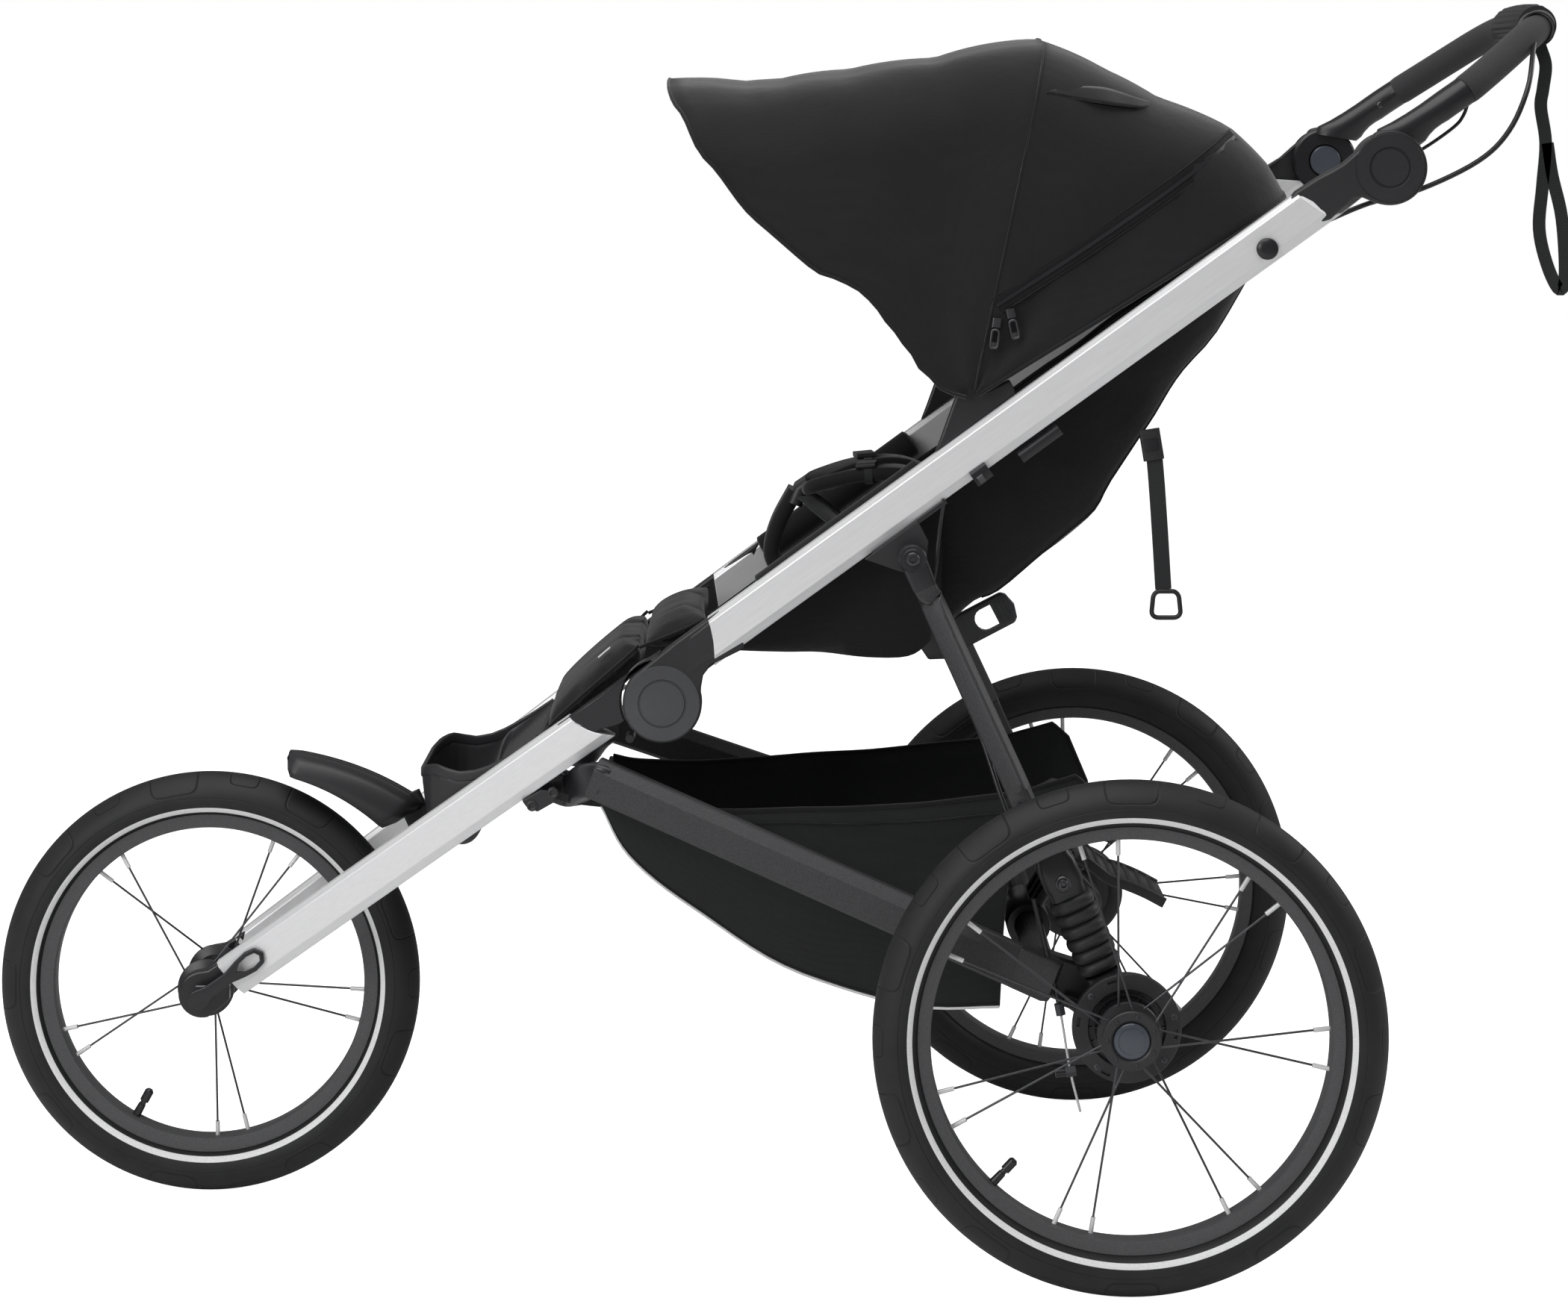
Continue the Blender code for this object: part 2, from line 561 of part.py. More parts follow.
def hood_arch(angle, radius, half, thick):
    """A closed loop: the hood's outer line at one angle, then its inner line back."""
    cx, cz = CANOPY_PIVOT
    a = math.radians(angle)
    base = 0.012
    corner = 0.085
    lean = 0.020
    line = [(half, base), (half - 0.004, 0.35 * radius)]
    for i in range(6):
        t = math.radians(18.0 * i)
        out = half - lean - corner * (1 - math.cos(t)) + 0.010
        line.append((out, radius - corner + corner * math.sin(t) - 0.006))
    line.append((0.0, radius))
    full = line + [(-y, r) for y, r in line[-2::-1]]
    outer = [(cx + r * math.cos(a), y, cz + r * math.sin(a)) for y, r in full]
    shrink = []
    for y, r in full:
        k = 1 - thick / half
        shrink.append((cx + max(base, r - thick * (r > 0.1)) * math.cos(a), y * k,
                       cz + max(base, r - thick * (r > 0.1)) * math.sin(a)))
    return outer + shrink[::-1]


def hood_radius(angle):
    table = ((33.0, 0.352), (37.0, 0.354), (44.5, 0.350), (56.0, 0.329), (66.0, 0.328), (78.0, 0.335),
             (95.0, 0.3165), (110.0, 0.3265), (123.0, 0.356), (136.0, 0.404))
    for (a0, r0), (a1, r1) in zip(table, table[1:]):
        if angle <= a1:
            return r0 + (r1 - r0) * (angle - a0) / (a1 - a0)
    return table[-1][1]


def canopy():
    cx, cz = CANOPY_PIVOT
    origin = (cx, 0, cz)
    front = [hood_arch(a, hood_radius(a), CANOPY_HALF, 0.003) for a in (136.0, 123.0, 110.0, 95.0, 78.4)]
    loft("canopy_front", front, "fabric", origin)
    rear = [hood_arch(a, hood_radius(a), CANOPY_HALF, 0.003) for a in (77.6, 66.0, 55.0, 44.5, 33.5)]
    loft("canopy_rear", rear, "fabric", origin)
    for name, angle in (("canopy_bow_front", 133.0), ("canopy_bow_middle", 78.0)):
        loop = hood_arch(angle, hood_radius(angle) - 0.0120, CANOPY_HALF - 0.0085, 0.0)
        count = len(loop) // 2
        sweep(name, loop[:count], circle(0.0025, 6), "black_plastic", origin,
              up=(math.sin(math.radians(angle)), 0, -math.cos(math.radians(angle))))


def canopy_clip(side, label):
    """The hood's pivot block, seated on top of the upper rail."""
    cx, cz = CANOPY_PIVOT
    plate = [(cx - 0.034, rail_z(cx - 0.034) + 0.0245), (cx + 0.022, rail_z(cx + 0.022) + 0.0245),
             (cx + 0.014, cz + 0.006), (cx, cz + 0.012), (cx - 0.014, cz + 0.006)]
    prism(f"canopy_clip_{label}", plate, side * 0.1666, side * 0.1743, "black_plastic",
          (HINGE[0], 0, HINGE[1]))


def bin_loops(stations):
    """Four-cornered loops from (foot x, foot z, half width, rim x, rim z, half width)."""
    loops = []
    for x0, z0, half0, x1, z1, half1 in stations:
        loops.append([(x0, -half0, z0), (x0, half0, z0), (x1, half1, z1), (x1, -half1, z1)])
    return loops


def basket():
    """An open-topped fabric bin, wider to the rear, with a raised rear lip."""
    outer = [(-0.4700, 0.3865, 0.1100, -0.4690, 0.3935, 0.1160),
             (-0.4440, 0.3400, 0.1110, -0.4430, 0.3880, 0.1190),
             (-0.3850, 0.2930, 0.1120, -0.3850, 0.3855, 0.1290),
             (-0.3000, 0.2400, 0.1140, -0.3000, 0.3890, 0.1430),
             (-0.1988, 0.2060, 0.1160, -0.1988, 0.3945, 0.1480),
             (-0.1020, 0.2030, 0.1170, -0.1020, 0.4025, 0.1480),
             (-0.0980, 0.3350, 0.1400, -0.0800, 0.4060, 0.1480),
             (-0.0350, 0.3680, 0.1400, -0.0340, 0.4215, 0.1460)]
    inner = [(-0.4620, 0.3880, 0.1070, -0.4600, 0.4400, 0.1130),
             (-0.4390, 0.3440, 0.1075, -0.4380, 0.4400, 0.1155),
             (-0.3820, 0.2980, 0.1085, -0.3820, 0.4400, 0.1255),
             (-0.2980, 0.2445, 0.1105, -0.2980, 0.4400, 0.1395),
             (-0.1980, 0.2100, 0.1125, -0.1980, 0.4400, 0.1445),
             (-0.1060, 0.2070, 0.1135, -0.1060, 0.4400, 0.1445),
             (-0.1020, 0.3390, 0.1365, -0.0850, 0.4400, 0.1445),
             (-0.0390, 0.3720, 0.1365, -0.0380, 0.4400, 0.1425)]
    shell = loft("cargo_basket", bin_loops(outer), "grey_fabric", smooth=False)
    hollow = loft("hollow", bin_loops(inner), "grey_fabric", smooth=False)
    join(shell, [hollow], "DIFFERENCE")


def carry_all():
    """Hangs every piece on one empty that sets the world origin."""
    base = bpy.data.objects.new("ground_centre", None)
    bpy.context.scene.collection.objects.link(base)
    for obj in bpy.data.objects:
        if obj is not base and obj.parent is None:
            obj.parent = base
    base.location.x = -MIDDLE


def build():
    clear_scene()
    front_wheel()
    front_details()
    for side, label in SIDES:
        rear_wheel(side, label)
        swing_arm(side, label)
        bellows(side, label)
        strut(side, label)
        stay(side, label)
        lower_rail(side, label)
        upper_rail(side, label)
        canopy_clip(side, label)
    rear_frame()
    handlebar()
    seat()
    canopy()
    basket()
    carry_all()


build()
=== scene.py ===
"""Looks of the jogging stroller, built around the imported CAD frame. Metres, Z up, forward is -X."""

import math

import bmesh
import bpy
from mathutils import Matrix, Vector, noise

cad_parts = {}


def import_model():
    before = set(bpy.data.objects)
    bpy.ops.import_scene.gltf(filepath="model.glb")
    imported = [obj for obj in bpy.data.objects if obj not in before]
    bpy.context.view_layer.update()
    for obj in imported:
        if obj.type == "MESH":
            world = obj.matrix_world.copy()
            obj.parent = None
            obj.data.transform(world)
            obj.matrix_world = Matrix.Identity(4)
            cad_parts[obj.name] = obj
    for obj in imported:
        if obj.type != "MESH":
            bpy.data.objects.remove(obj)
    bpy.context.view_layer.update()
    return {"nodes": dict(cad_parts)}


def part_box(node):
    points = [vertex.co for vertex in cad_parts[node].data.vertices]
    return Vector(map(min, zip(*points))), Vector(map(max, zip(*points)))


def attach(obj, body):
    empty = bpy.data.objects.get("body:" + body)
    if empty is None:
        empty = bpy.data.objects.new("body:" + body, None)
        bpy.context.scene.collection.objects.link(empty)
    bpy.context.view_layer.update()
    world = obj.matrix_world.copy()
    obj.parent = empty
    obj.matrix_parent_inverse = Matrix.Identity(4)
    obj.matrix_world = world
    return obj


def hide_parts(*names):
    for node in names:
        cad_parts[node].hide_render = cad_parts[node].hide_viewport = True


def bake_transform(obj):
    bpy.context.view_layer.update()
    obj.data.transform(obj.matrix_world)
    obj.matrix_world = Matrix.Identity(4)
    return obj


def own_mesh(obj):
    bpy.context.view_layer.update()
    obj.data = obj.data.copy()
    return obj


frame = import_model()

# The shapes below are drawn with the rear axle at x = 0. SHIFT takes them into the frame.
wheel_low, wheel_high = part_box("rear_left_tyre")
SHIFT = Vector(((wheel_low[0] + wheel_high[0]) / 2, 0, 0))

TAU = 2 * math.pi
REAR_R = 0.2245
FRONT_R = 0.1995
TRACK = 0.32
FRONT_AXLE = Vector((-0.8478, 0, FRONT_R))
RAIL_AT = (-0.3595, 0.5522)
RAIL_SLOPE = 0.7302
ALONG = Vector((0.8076, 0, 0.5897))
OVER = Vector((-0.5897, 0, 0.8076))
HINGE = (-0.4118, 0.4906)
HANDLE = (0.243, 0.979)
BAR = (0.405, 1.11)
HOOD = (-0.13, 0.77)
HOOD_HALF = 0.186
HOOD_STEPS = 44
SWING_PIVOT = (-0.07, 0.261)
STRUT_TOP = (-0.185, 0.626)
SIDES = ((-1, "left"), (1, "right"))


# ---------------------------------------------------------------- materials
class Shader:
    """A Principled material and short calls that add nodes to it."""

    def __init__(self, name, colour, rough, metal=0.0):
        self.material = bpy.data.materials.new(name)
        self.material.use_nodes = True
        self.tree = self.material.node_tree
        self.out = self.tree.nodes["Principled BSDF"]
        self.out.inputs["Base Color"].default_value = (*colour, 1)
        self.out.inputs["Roughness"].default_value = rough
        self.out.inputs["Metallic"].default_value = metal
        self.bumps = []

    def node(self, kind, **values):
        made = self.tree.nodes.new(kind)
        for key, value in values.items():
            setattr(made, key, value)
        return made

    def link(self, a, b):
        self.tree.links.new(a, b)

    def feed(self, socket, value):
        if isinstance(value, bpy.types.NodeSocket):
            self.link(value, socket)
        else:
            socket.default_value = value

    def math(self, op, a, b=0.0, clamp=False):
        made = self.node("ShaderNodeMath", operation=op, use_clamp=clamp)
        self.feed(made.inputs[0], a)
        self.feed(made.inputs[1], b)
        return made.outputs[0]

    def coords(self):
        return self.node("ShaderNodeTexCoord").outputs["Object"]

    def noise(self, scale, detail):
        made = self.node("ShaderNodeTexNoise")
        made.inputs["Scale"].default_value = scale
        made.inputs["Detail"].default_value = detail
        self.link(self.coords(), made.inputs["Vector"])
        return made.outputs["Fac"]

    def ramp(self, fac, low, high, start=0.3, end=0.7):
        made = self.node("ShaderNodeValToRGB")
        made.color_ramp.elements[0].position = start
        made.color_ramp.elements[0].color = (*low, 1)
        made.color_ramp.elements[1].position = end
        made.color_ramp.elements[1].color = (*high, 1)
        self.link(fac, made.inputs[0])
        return made.outputs[0]

    def mix(self, fac, a, b):
        made = self.node("ShaderNodeMix", data_type="RGBA")
        self.feed(made.inputs[0], fac)
        for socket, value in ((made.inputs[6], a), (made.inputs[7], b)):
            if isinstance(value, tuple):
                value = (*value, 1)
            self.feed(socket, value)
        return made.outputs[2]

    def paint(self, colour):
        self.link(colour, self.out.inputs["Base Color"])

    def rough(self, fac, low, high):
        made = self.node("ShaderNodeMapRange")
        made.inputs["To Min"].default_value = low
        made.inputs["To Max"].default_value = high
        self.link(fac, made.inputs["Value"])
        self.link(made.outputs[0], self.out.inputs["Roughness"])

    def bump(self, height, strength, distance=0.001):
        made = self.node("ShaderNodeBump")
        made.inputs["Strength"].default_value = strength
        made.inputs["Distance"].default_value = distance
        self.link(height, made.inputs["Height"])
        if self.bumps:
            self.link(self.bumps[-1], made.inputs["Normal"])
        self.bumps.append(made.outputs[0])
        self.link(made.outputs[0], self.out.inputs["Normal"])

    def weave(self, pitch):
        """Threads of this pitch along all three axes."""
        total = None
        for axis in ("X", "Y", "Z"):
            wave = self.node("ShaderNodeTexWave", bands_direction=axis)
            wave.inputs["Scale"].default_value = TAU / 20 / pitch
            wave.inputs["Distortion"].default_value = 0.6
            wave.inputs["Detail"].default_value = 1.0
            self.link(self.coords(), wave.inputs["Vector"])
            value = wave.outputs["Fac"]
            total = value if total is None else self.math("MULTIPLY", total, value)
        return total


def shade(colour, k):
    """The colour made k times as bright."""
    return tuple(min(1.0, c * k) for c in colour)


def plastic(name, colour, rough=0.42, grain=900, strength=0.12):
    s = Shader(name, colour, rough)
    fine = s.noise(grain, 2)
    s.bump(fine, strength, 0.0006)
    broad = s.noise(9, 4)
    s.paint(s.ramp(broad, shade(colour, 0.82), shade(colour, 1.22)))
    s.rough(broad, rough - 0.05, rough + 0.08)
    return s.material


def coated(name, colour, rough=0.5, contrast=0.35, metal=0.3):
    """Dark powder coat with fine pale specks."""
    s = Shader(name, colour, rough, metal)
    specks = s.noise(1500, 1)
    broad = s.noise(6, 3)
    base = s.ramp(specks, shade(colour, 1 - contrast), shade(colour, 1 + contrast), 0.38, 0.66)
    s.paint(s.mix(s.math("MULTIPLY", broad, 0.35), base, shade(colour, 0.6)))
    s.bump(specks, 0.18, 0.0005)
    s.rough(broad, rough - 0.06, rough + 0.08)
    return s.material


def brushed(name, colour, rough=0.3):
    """Anodised aluminium with a faint drawn grain along the rail."""
    s = Shader(name, colour, rough, 0.35)
    turn = s.node("ShaderNodeMapping", vector_type="TEXTURE")
    turn.inputs["Rotation"].default_value = (0, -math.atan2(ALONG.z, ALONG.x), 0)
    s.link(s.coords(), turn.inputs["Vector"])
    squeeze = s.node("ShaderNodeMapping")
    squeeze.inputs["Scale"].default_value = (3, 500, 500)
    s.link(turn.outputs[0], squeeze.inputs["Vector"])
    lines = s.node("ShaderNodeTexNoise")
    lines.inputs["Scale"].default_value = 1.0
    lines.inputs["Detail"].default_value = 3.0
    s.link(squeeze.outputs[0], lines.inputs["Vector"])
    grain = lines.outputs["Fac"]
    s.paint(s.ramp(grain, shade(colour, 0.97), shade(colour, 1.02)))
    s.rough(grain, rough - 0.06, rough + 0.08)
    s.bump(grain, 0.05, 0.0003)
    return s.material


def fabric(name, colour, pitch=0.0016, wrinkle=0.35, sheen=0.25, rough=0.85):
    s = Shader(name, colour, rough)
    threads = s.weave(pitch)
    broad = s.noise(14, 4)
    s.paint(s.mix(s.math("MULTIPLY", threads, 0.9), shade(colour, 0.9),
                  shade(colour, 1.2)))
    s.bump(broad, wrinkle, 0.012)
    s.bump(threads, 0.18, 0.0004)
    s.rough(broad, rough - 0.08, rough + 0.08)
    s.out.inputs["Sheen Weight"].default_value = sheen
    s.out.inputs["Sheen Roughness"].default_value = 0.45
    s.out.inputs["Specular IOR Level"].default_value = 0.2
    return s.material


def foam(name, colour):
    s = Shader(name, colour, 0.9)
    cells = s.noise(1400, 2)
    s.paint(s.ramp(cells, shade(colour, 0.7), shade(colour, 1.35)))
    s.bump(cells, 0.4, 0.0006)
    s.out.inputs["Sheen Weight"].default_value = 0.15
    return s.material


def tyre_rubber(name, outer, blocks, stripe, outside=0):
    """Rubber with painted shade darkening the grooves round its shoulder blocks, and a pale band on the
    outside, or on both sides at 0.
    """
    colour = (0.0165, 0.0165, 0.0172)
    s = Shader(name, colour, 0.58)
    s.out.inputs["Specular IOR Level"].default_value = 0.35
    split = s.node("ShaderNodeSeparateXYZ")
    s.link(s.coords(), split.inputs[0])
    x, z = split.outputs[0], split.outputs[2]
    r = s.math("SQRT", s.math("ADD", s.math("MULTIPLY", x, x), s.math("MULTIPLY", z, z)))
    turn = s.math("DIVIDE", s.math("ARCTAN2", z, x), TAU)

    def outline(phase, half, depth):
        u = s.math("FRACT", s.math("ADD", s.math("MULTIPLY", turn, blocks), phase))
        side = s.math("DIVIDE", s.math("ABSOLUTE", s.math("SUBTRACT", u, 0.5)), half)
        down = s.math("DIVIDE", s.math("SUBTRACT", outer + 0.001, r), depth)
        whole = s.math("ADD", s.math("POWER", side, 5.0), s.math("POWER", down, 5.0))
        reach = s.math("ABSOLUTE", s.math("SUBTRACT", s.math("POWER", whole, 0.2), 1.0))
        return s.math("SUBTRACT", 1.0, s.math("DIVIDE", reach, 0.055), True)

    def line(radius, width):
        away = s.math("ABSOLUTE", s.math("SUBTRACT", r, radius))
        return s.math("SUBTRACT", 1.0, s.math("DIVIDE", away, width), True)

    # Groove mask for the block outlines and the ring at their foot; it drives the bump and the painted
    # shade below.
    grooves = s.math("MAXIMUM", outline(0.0, 0.17, 0.0185), outline(0.5, 0.1, 0.0095))
    grooves = s.math("MAXIMUM", grooves, s.math("MULTIPLY", line(outer - 0.0215, 0.0005), 0.7))
    low, high = stripe
    rise = s.math("DIVIDE", s.math("SUBTRACT", r, low), 0.0003, True)
    fall = s.math("DIVIDE", s.math("SUBTRACT", high, r), 0.0003, True)
    band = s.math("MULTIPLY", rise, fall)
    if outside:
        band = s.math("MULTIPLY", band,
                      s.math("GREATER_THAN", s.math("MULTIPLY", split.outputs[1], outside), 0.0))
    fine = s.noise(700, 3)
    rubber = s.ramp(s.noise(30, 4), shade(colour, 0.85), shade(colour, 1.2))
    # Painted shade: the rubber is darkened almost to black along the grooves, where shade would fall.
    rubber = s.mix(s.math("MULTIPLY", grooves, 0.75), rubber, (0.004, 0.004, 0.004))
    white = s.ramp(fine, (0.8, 0.8, 0.8), (0.93, 0.93, 0.93))
    s.paint(s.mix(band, rubber, white))
    s.bump(s.math("SUBTRACT", 1.0, grooves), 0.6, 0.0012)
    s.bump(fine, 0.15, 0.0005)
    return s.material


ALUMINIUM = brushed("satin_aluminium", (0.86, 0.86, 0.87), 0.34)
TUBE = coated("speckled_tube", (0.05, 0.05, 0.053), 0.48)
RIM = coated("speckled_rim", (0.092, 0.092, 0.096), 0.55, 0.22, 0.2)
BLACK = plastic("grained_black", (0.02, 0.02, 0.022), 0.4)
SATIN = plastic("satin_black", (0.014, 0.014, 0.016), 0.3, 500, 0.05)
GREY = plastic("grey_insert", (0.06, 0.061, 0.066), 0.36)
SLATE = plastic("slate_cap", (0.062, 0.072, 0.088), 0.22, 300, 0.04)
STEEL = coated("dark_steel", (0.1, 0.1, 0.105), 0.3, 0.12, 0.9)
BRIGHT = brushed("bright_steel", (0.7, 0.7, 0.7), 0.25)
NIPPLE = coated("bright_nipple", (0.85, 0.85, 0.85), 0.3, 0.06, 0.2)
FOAM = foam("grip_foam", (0.03, 0.03, 0.032))
BOOT = plastic("boot_rubber", (0.022, 0.022, 0.023), 0.5, 600, 0.15)
CLOTH = fabric("black_cloth", (0.0125, 0.0125, 0.0135))
HOOD_CLOTH = fabric("hood_cloth", (0.0135, 0.0135, 0.0148), 0.0016, 0.22, 0.35)
CHARCOAL = fabric("charcoal_cloth", (0.02, 0.021, 0.021), 0.002, 0.25, 0.2)
WEBBING = fabric("webbing", (0.03, 0.031, 0.032), 0.0026, 0.05, 0.3)
WEBBING_DARK = fabric("zip_tape", (0.0075, 0.0075, 0.008), 0.0018, 0.04, 0.15, 0.6)
PIPING = coated("pale_piping", (0.8, 0.8, 0.8), 0.5, 0.08, 0.0)


# ---------------------------------------------------------------- geometry
def rail_z(x):
    """Height of the rails' centre line, which both rails share."""
    return RAIL_AT[1] + RAIL_SLOPE * (x - RAIL_AT[0])


def world(point):
    """From drawing coordinates into the frame's."""
    return Vector(point) + SHIFT


def mesh(name, points, faces, material, smooth=40, at=(0, 0, 0)):
    """A mesh object in its finish, with its origin at the point at."""
    at = Vector(at)
    data = bpy.data.meshes.new(name)
    data.from_pydata([Vector(p) - at for p in points], [], faces)
    work = bmesh.new()
    work.from_mesh(data)
    bmesh.ops.recalc_face_normals(work, faces=work.faces)
    work.to_mesh(data)
    work.free()
    obj = bpy.data.objects.new(name, data)
    obj.location = world(at)
    bpy.context.scene.collection.objects.link(obj)
    data.materials.append(material)
    data.shade_smooth()
    if smooth < 180:
        data.set_sharp_from_angle(angle=math.radians(smooth))
    return obj


def loft(name, loops, material, ring=False, caps=True, open_loop=False, smooth=40, at=(0, 0, 0)):
    """Skin over a row of loops that all have the same number of points."""
    n = len(loops[0])
    points = [p for loop in loops for p in loop]
    faces = []
    rows = len(loops) if ring else len(loops) - 1
    for i in range(rows):
        a, b = i * n, ((i + 1) % len(loops)) * n
        for j in range(n - 1 if open_loop else n):
            k = (j + 1) % n
            faces.append((a + j, a + k, b + k, b + j))
    if caps and not ring and not open_loop:
        faces.append(tuple(range(n)))
        faces.append(tuple(range(len(points) - n, len(points))))
    return mesh(name, points, faces, material, smooth, at)


def turned(name, profile, centre, material, count=64, smooth=35, caps=True):
    """(radius, y) pairs turned about a Y axis through centre. The ends are capped discs."""
    loops = []
    for r, y in profile:
        loops.append([(centre[0] + r * math.cos(TAU * i / count), y,
                       centre[-1] + r * math.sin(TAU * i / count)) for i in range(count)])
    return loft(name, loops, material, caps=caps, smooth=smooth, at=(centre[0], profile[0][1], centre[-1]))


def hoop(name, profile, centre, material, count, smooth=35, at=None):
    """A closed (radius, y) profile turned about a Y axis."""
    loops = []
    for i in range(count):
        a = TAU * i / count
        loops.append([(centre[0] + r * math.cos(a), y, centre[-1] + r * math.sin(a)) for r, y in profile])
    return loft(name, loops, material, ring=True, smooth=smooth,
                at=at or (centre[0], profile[0][1], centre[-1]))


def carried(path, shape, up=(0, 0, 1), sizes=None):
    """Loops of a flat shape carried along a path, scaled by sizes."""
    pts = [Vector(p) for p in path]
    loops = []
    last = len(pts) - 1
    for i, point in enumerate(pts):
        ahead = pts[min(i + 1, last)] - pts[max(i - 1, 0)]
        along = ahead.normalized()
        across = along.cross(Vector(up))
        across = across.normalized() if across.length > 1e-6 else Vector((1, 0, 0))
        over = across.cross(along).normalized()
        k = sizes[i] if sizes else 1.0
        loops.append([point + across * (a * k) + over * (u * k) for a, u in shape])
    return loops


def beside(side):
    """Vector, with y counted outwards from the middle of this side."""
    return lambda x, y, z: Vector((x, side * y, z))


def sided(side, pairs):
    """(radius, y) pairs with y counted outwards on this side."""
    return [(r, side * y) for r, y in pairs]


def circle(radius, count):
    """A round section, as (across, up)."""
    return [(radius * math.cos(TAU * i / count), radius * math.sin(TAU * i / count)) for i in range(count)]


def oblong(width, height, corner, steps=4):
    """A rectangle with rounded corners, as (across, up)."""
    points = []
    for sx, sy, start in ((1, 1, 0), (-1, 1, 90), (-1, -1, 180), (1, -1, 270)):
        cx, cy = sx * (width / 2 - corner), sy * (height / 2 - corner)
        for i in range(steps + 1):
            a = math.radians(start + 90 * i / steps)
            points.append((cx + corner * math.cos(a), cy + corner * math.sin(a)))
    return points


def curve_points(control, steps=8):
    """A smooth Catmull-Rom line through the control points."""
    pts = [Vector(p) for p in control]
    pts = [2 * pts[0] - pts[1]] + pts + [2 * pts[-1] - pts[-2]]
    out = []
    for a, b, c, d in zip(pts, pts[1:], pts[2:], pts[3:]):
        for i in range(steps):
            t = i / steps
            out.append(0.5 * (2 * b + (c - a) * t + (2 * a - 5 * b + 4 * c - d) * t * t
                              + (3 * b - a - 3 * c + d) * t * t * t))
    out.append(pts[-2])
    return out


def along_table(table, x):
    """Straight interpolation in a table of (x, value)."""
    for (x0, v0), (x1, v1) in zip(table, table[1:]):
        if x <= x1:
            return v0 + (v1 - v0) * max(0.0, (x - x0) / (x1 - x0))
    return table[-1][1]


def tube(name, path, radius, material, count=12, up=(0, 0, 1), smooth=60):
    return loft(name, carried(path, circle(radius, count), up), material, smooth=smooth)


def bar(name, path, shape, material, up=(0, 0, 1), sizes=None, smooth=40):
    return loft(name, carried(path, shape, up, sizes), material, smooth=smooth)


def plate(name, outline, y0, y1, material, round_by=0.0, segments=3):
    """A side-view outline pushed through from y0 to y1, with softened edges."""
    loops = [[(x, y, z) for x, z in outline] for y in (y0, y1)]
    obj = loft(name, loops, material, smooth=35)
    if round_by:
        soften(obj, round_by, segments)
    return obj


def soften(obj, width, segments=3, angle=35):
    made = obj.modifiers.new("soft", "BEVEL")
    made.width = width
    made.segments = segments
    made.limit_method = "ANGLE"
    made.angle_limit = math.radians(angle)
    return obj


def thicken(obj, thickness, offset=0):
    """Gives a sheet its thickness."""
    wall = obj.modifiers.new("wall", "SOLIDIFY")
    wall.thickness = thickness
    wall.offset = offset


def bake(obj):
    """Applies the modifiers."""
    bpy.context.view_layer.update()
    graph = bpy.context.evaluated_depsgraph_get()
    data = bpy.data.meshes.new_from_object(obj.evaluated_get(graph))
    obj.modifiers.clear()
    obj.data = data
    return obj


def merge(name, objs):
    """One mesh holding all of these, with their own materials."""
    bpy.context.view_layer.update()
    base = objs[0]
    centre = base.matrix_world.translation.copy()
    work = bmesh.new()
    materials = []
    for obj in objs:
        if obj.modifiers:
            bake(obj)
        part = bmesh.new()
        part.from_mesh(obj.data)
        part.transform(Matrix.Translation(-centre) @ obj.matrix_world)
        for face in part.faces:
            material = obj.data.materials[face.material_index]
            if material not in materials:
                materials.append(material)
            face.material_index = materials.index(material)
        temp = bpy.data.meshes.new("temp")
        part.to_mesh(temp)
        part.free()
        work.from_mesh(temp)
        bpy.data.meshes.remove(temp)
    data = bpy.data.meshes.new(name)
    work.to_mesh(data)
    work.free()
    for material in materials:
        data.materials.append(material)
    for obj in objs:
        bpy.data.objects.remove(obj, do_unlink=True)
    made = bpy.data.objects.new(name, data)
    made.location = centre
    bpy.context.scene.collection.objects.link(made)
    return made


def cut(obj, cutters):
    for cutter in cutters:
        made = obj.modifiers.new("cut", "BOOLEAN")
        made.operation = "DIFFERENCE"
        made.solver = "EXACT"
        made.object = cutter
        bake(obj)
        bpy.data.objects.remove(cutter, do_unlink=True)
    obj.data.set_sharp_from_angle(angle=math.radians(35))
    return obj


def put(obj, body, *nodes, slot=None):
    """Fixes a piece to its body, in place of the CAD nodes that it shows."""
    bpy.context.view_layer.update()
    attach(obj, body)
    if nodes:
        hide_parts(*nodes)
    return obj


def fold_flat(obj):
    """Gives a cloth piece its own copy of its mesh. Nothing makes it flatten as the frame folds."""
    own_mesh(obj)


def keep(node, material, width=0):
    """A CAD piece shown as it is, with soft edges and its own finish."""
    obj = frame["nodes"][node]
    obj.data.materials.clear()
    obj.data.materials.append(material)
    if width:
        soften(obj, width, 2, 30)
    return obj


def arc(centre, radius, start, end, count):
    """(x, z) points from one angle to another, in degrees."""
    out = []
    for i in range(count + 1):
        a = math.radians(start + (end - start) * i / count)
        out.append((centre[0] + radius * math.cos(a), centre[-1] + radius * math.sin(a)))
    return out


def dome(name, centre, radius, height, side, material, count=20):
    """A low round head on a side face."""
    x, y, z = centre
    steps = [(radius, 0), (radius, 0.35), (0.9 * radius, 0.7), (0.62 * radius, 0.92), (0.2 * radius, 1.0)]
    profile = [(r, y + side * height * h) for r, h in steps]
    return turned(name, profile, (x, z), material, count, 60)


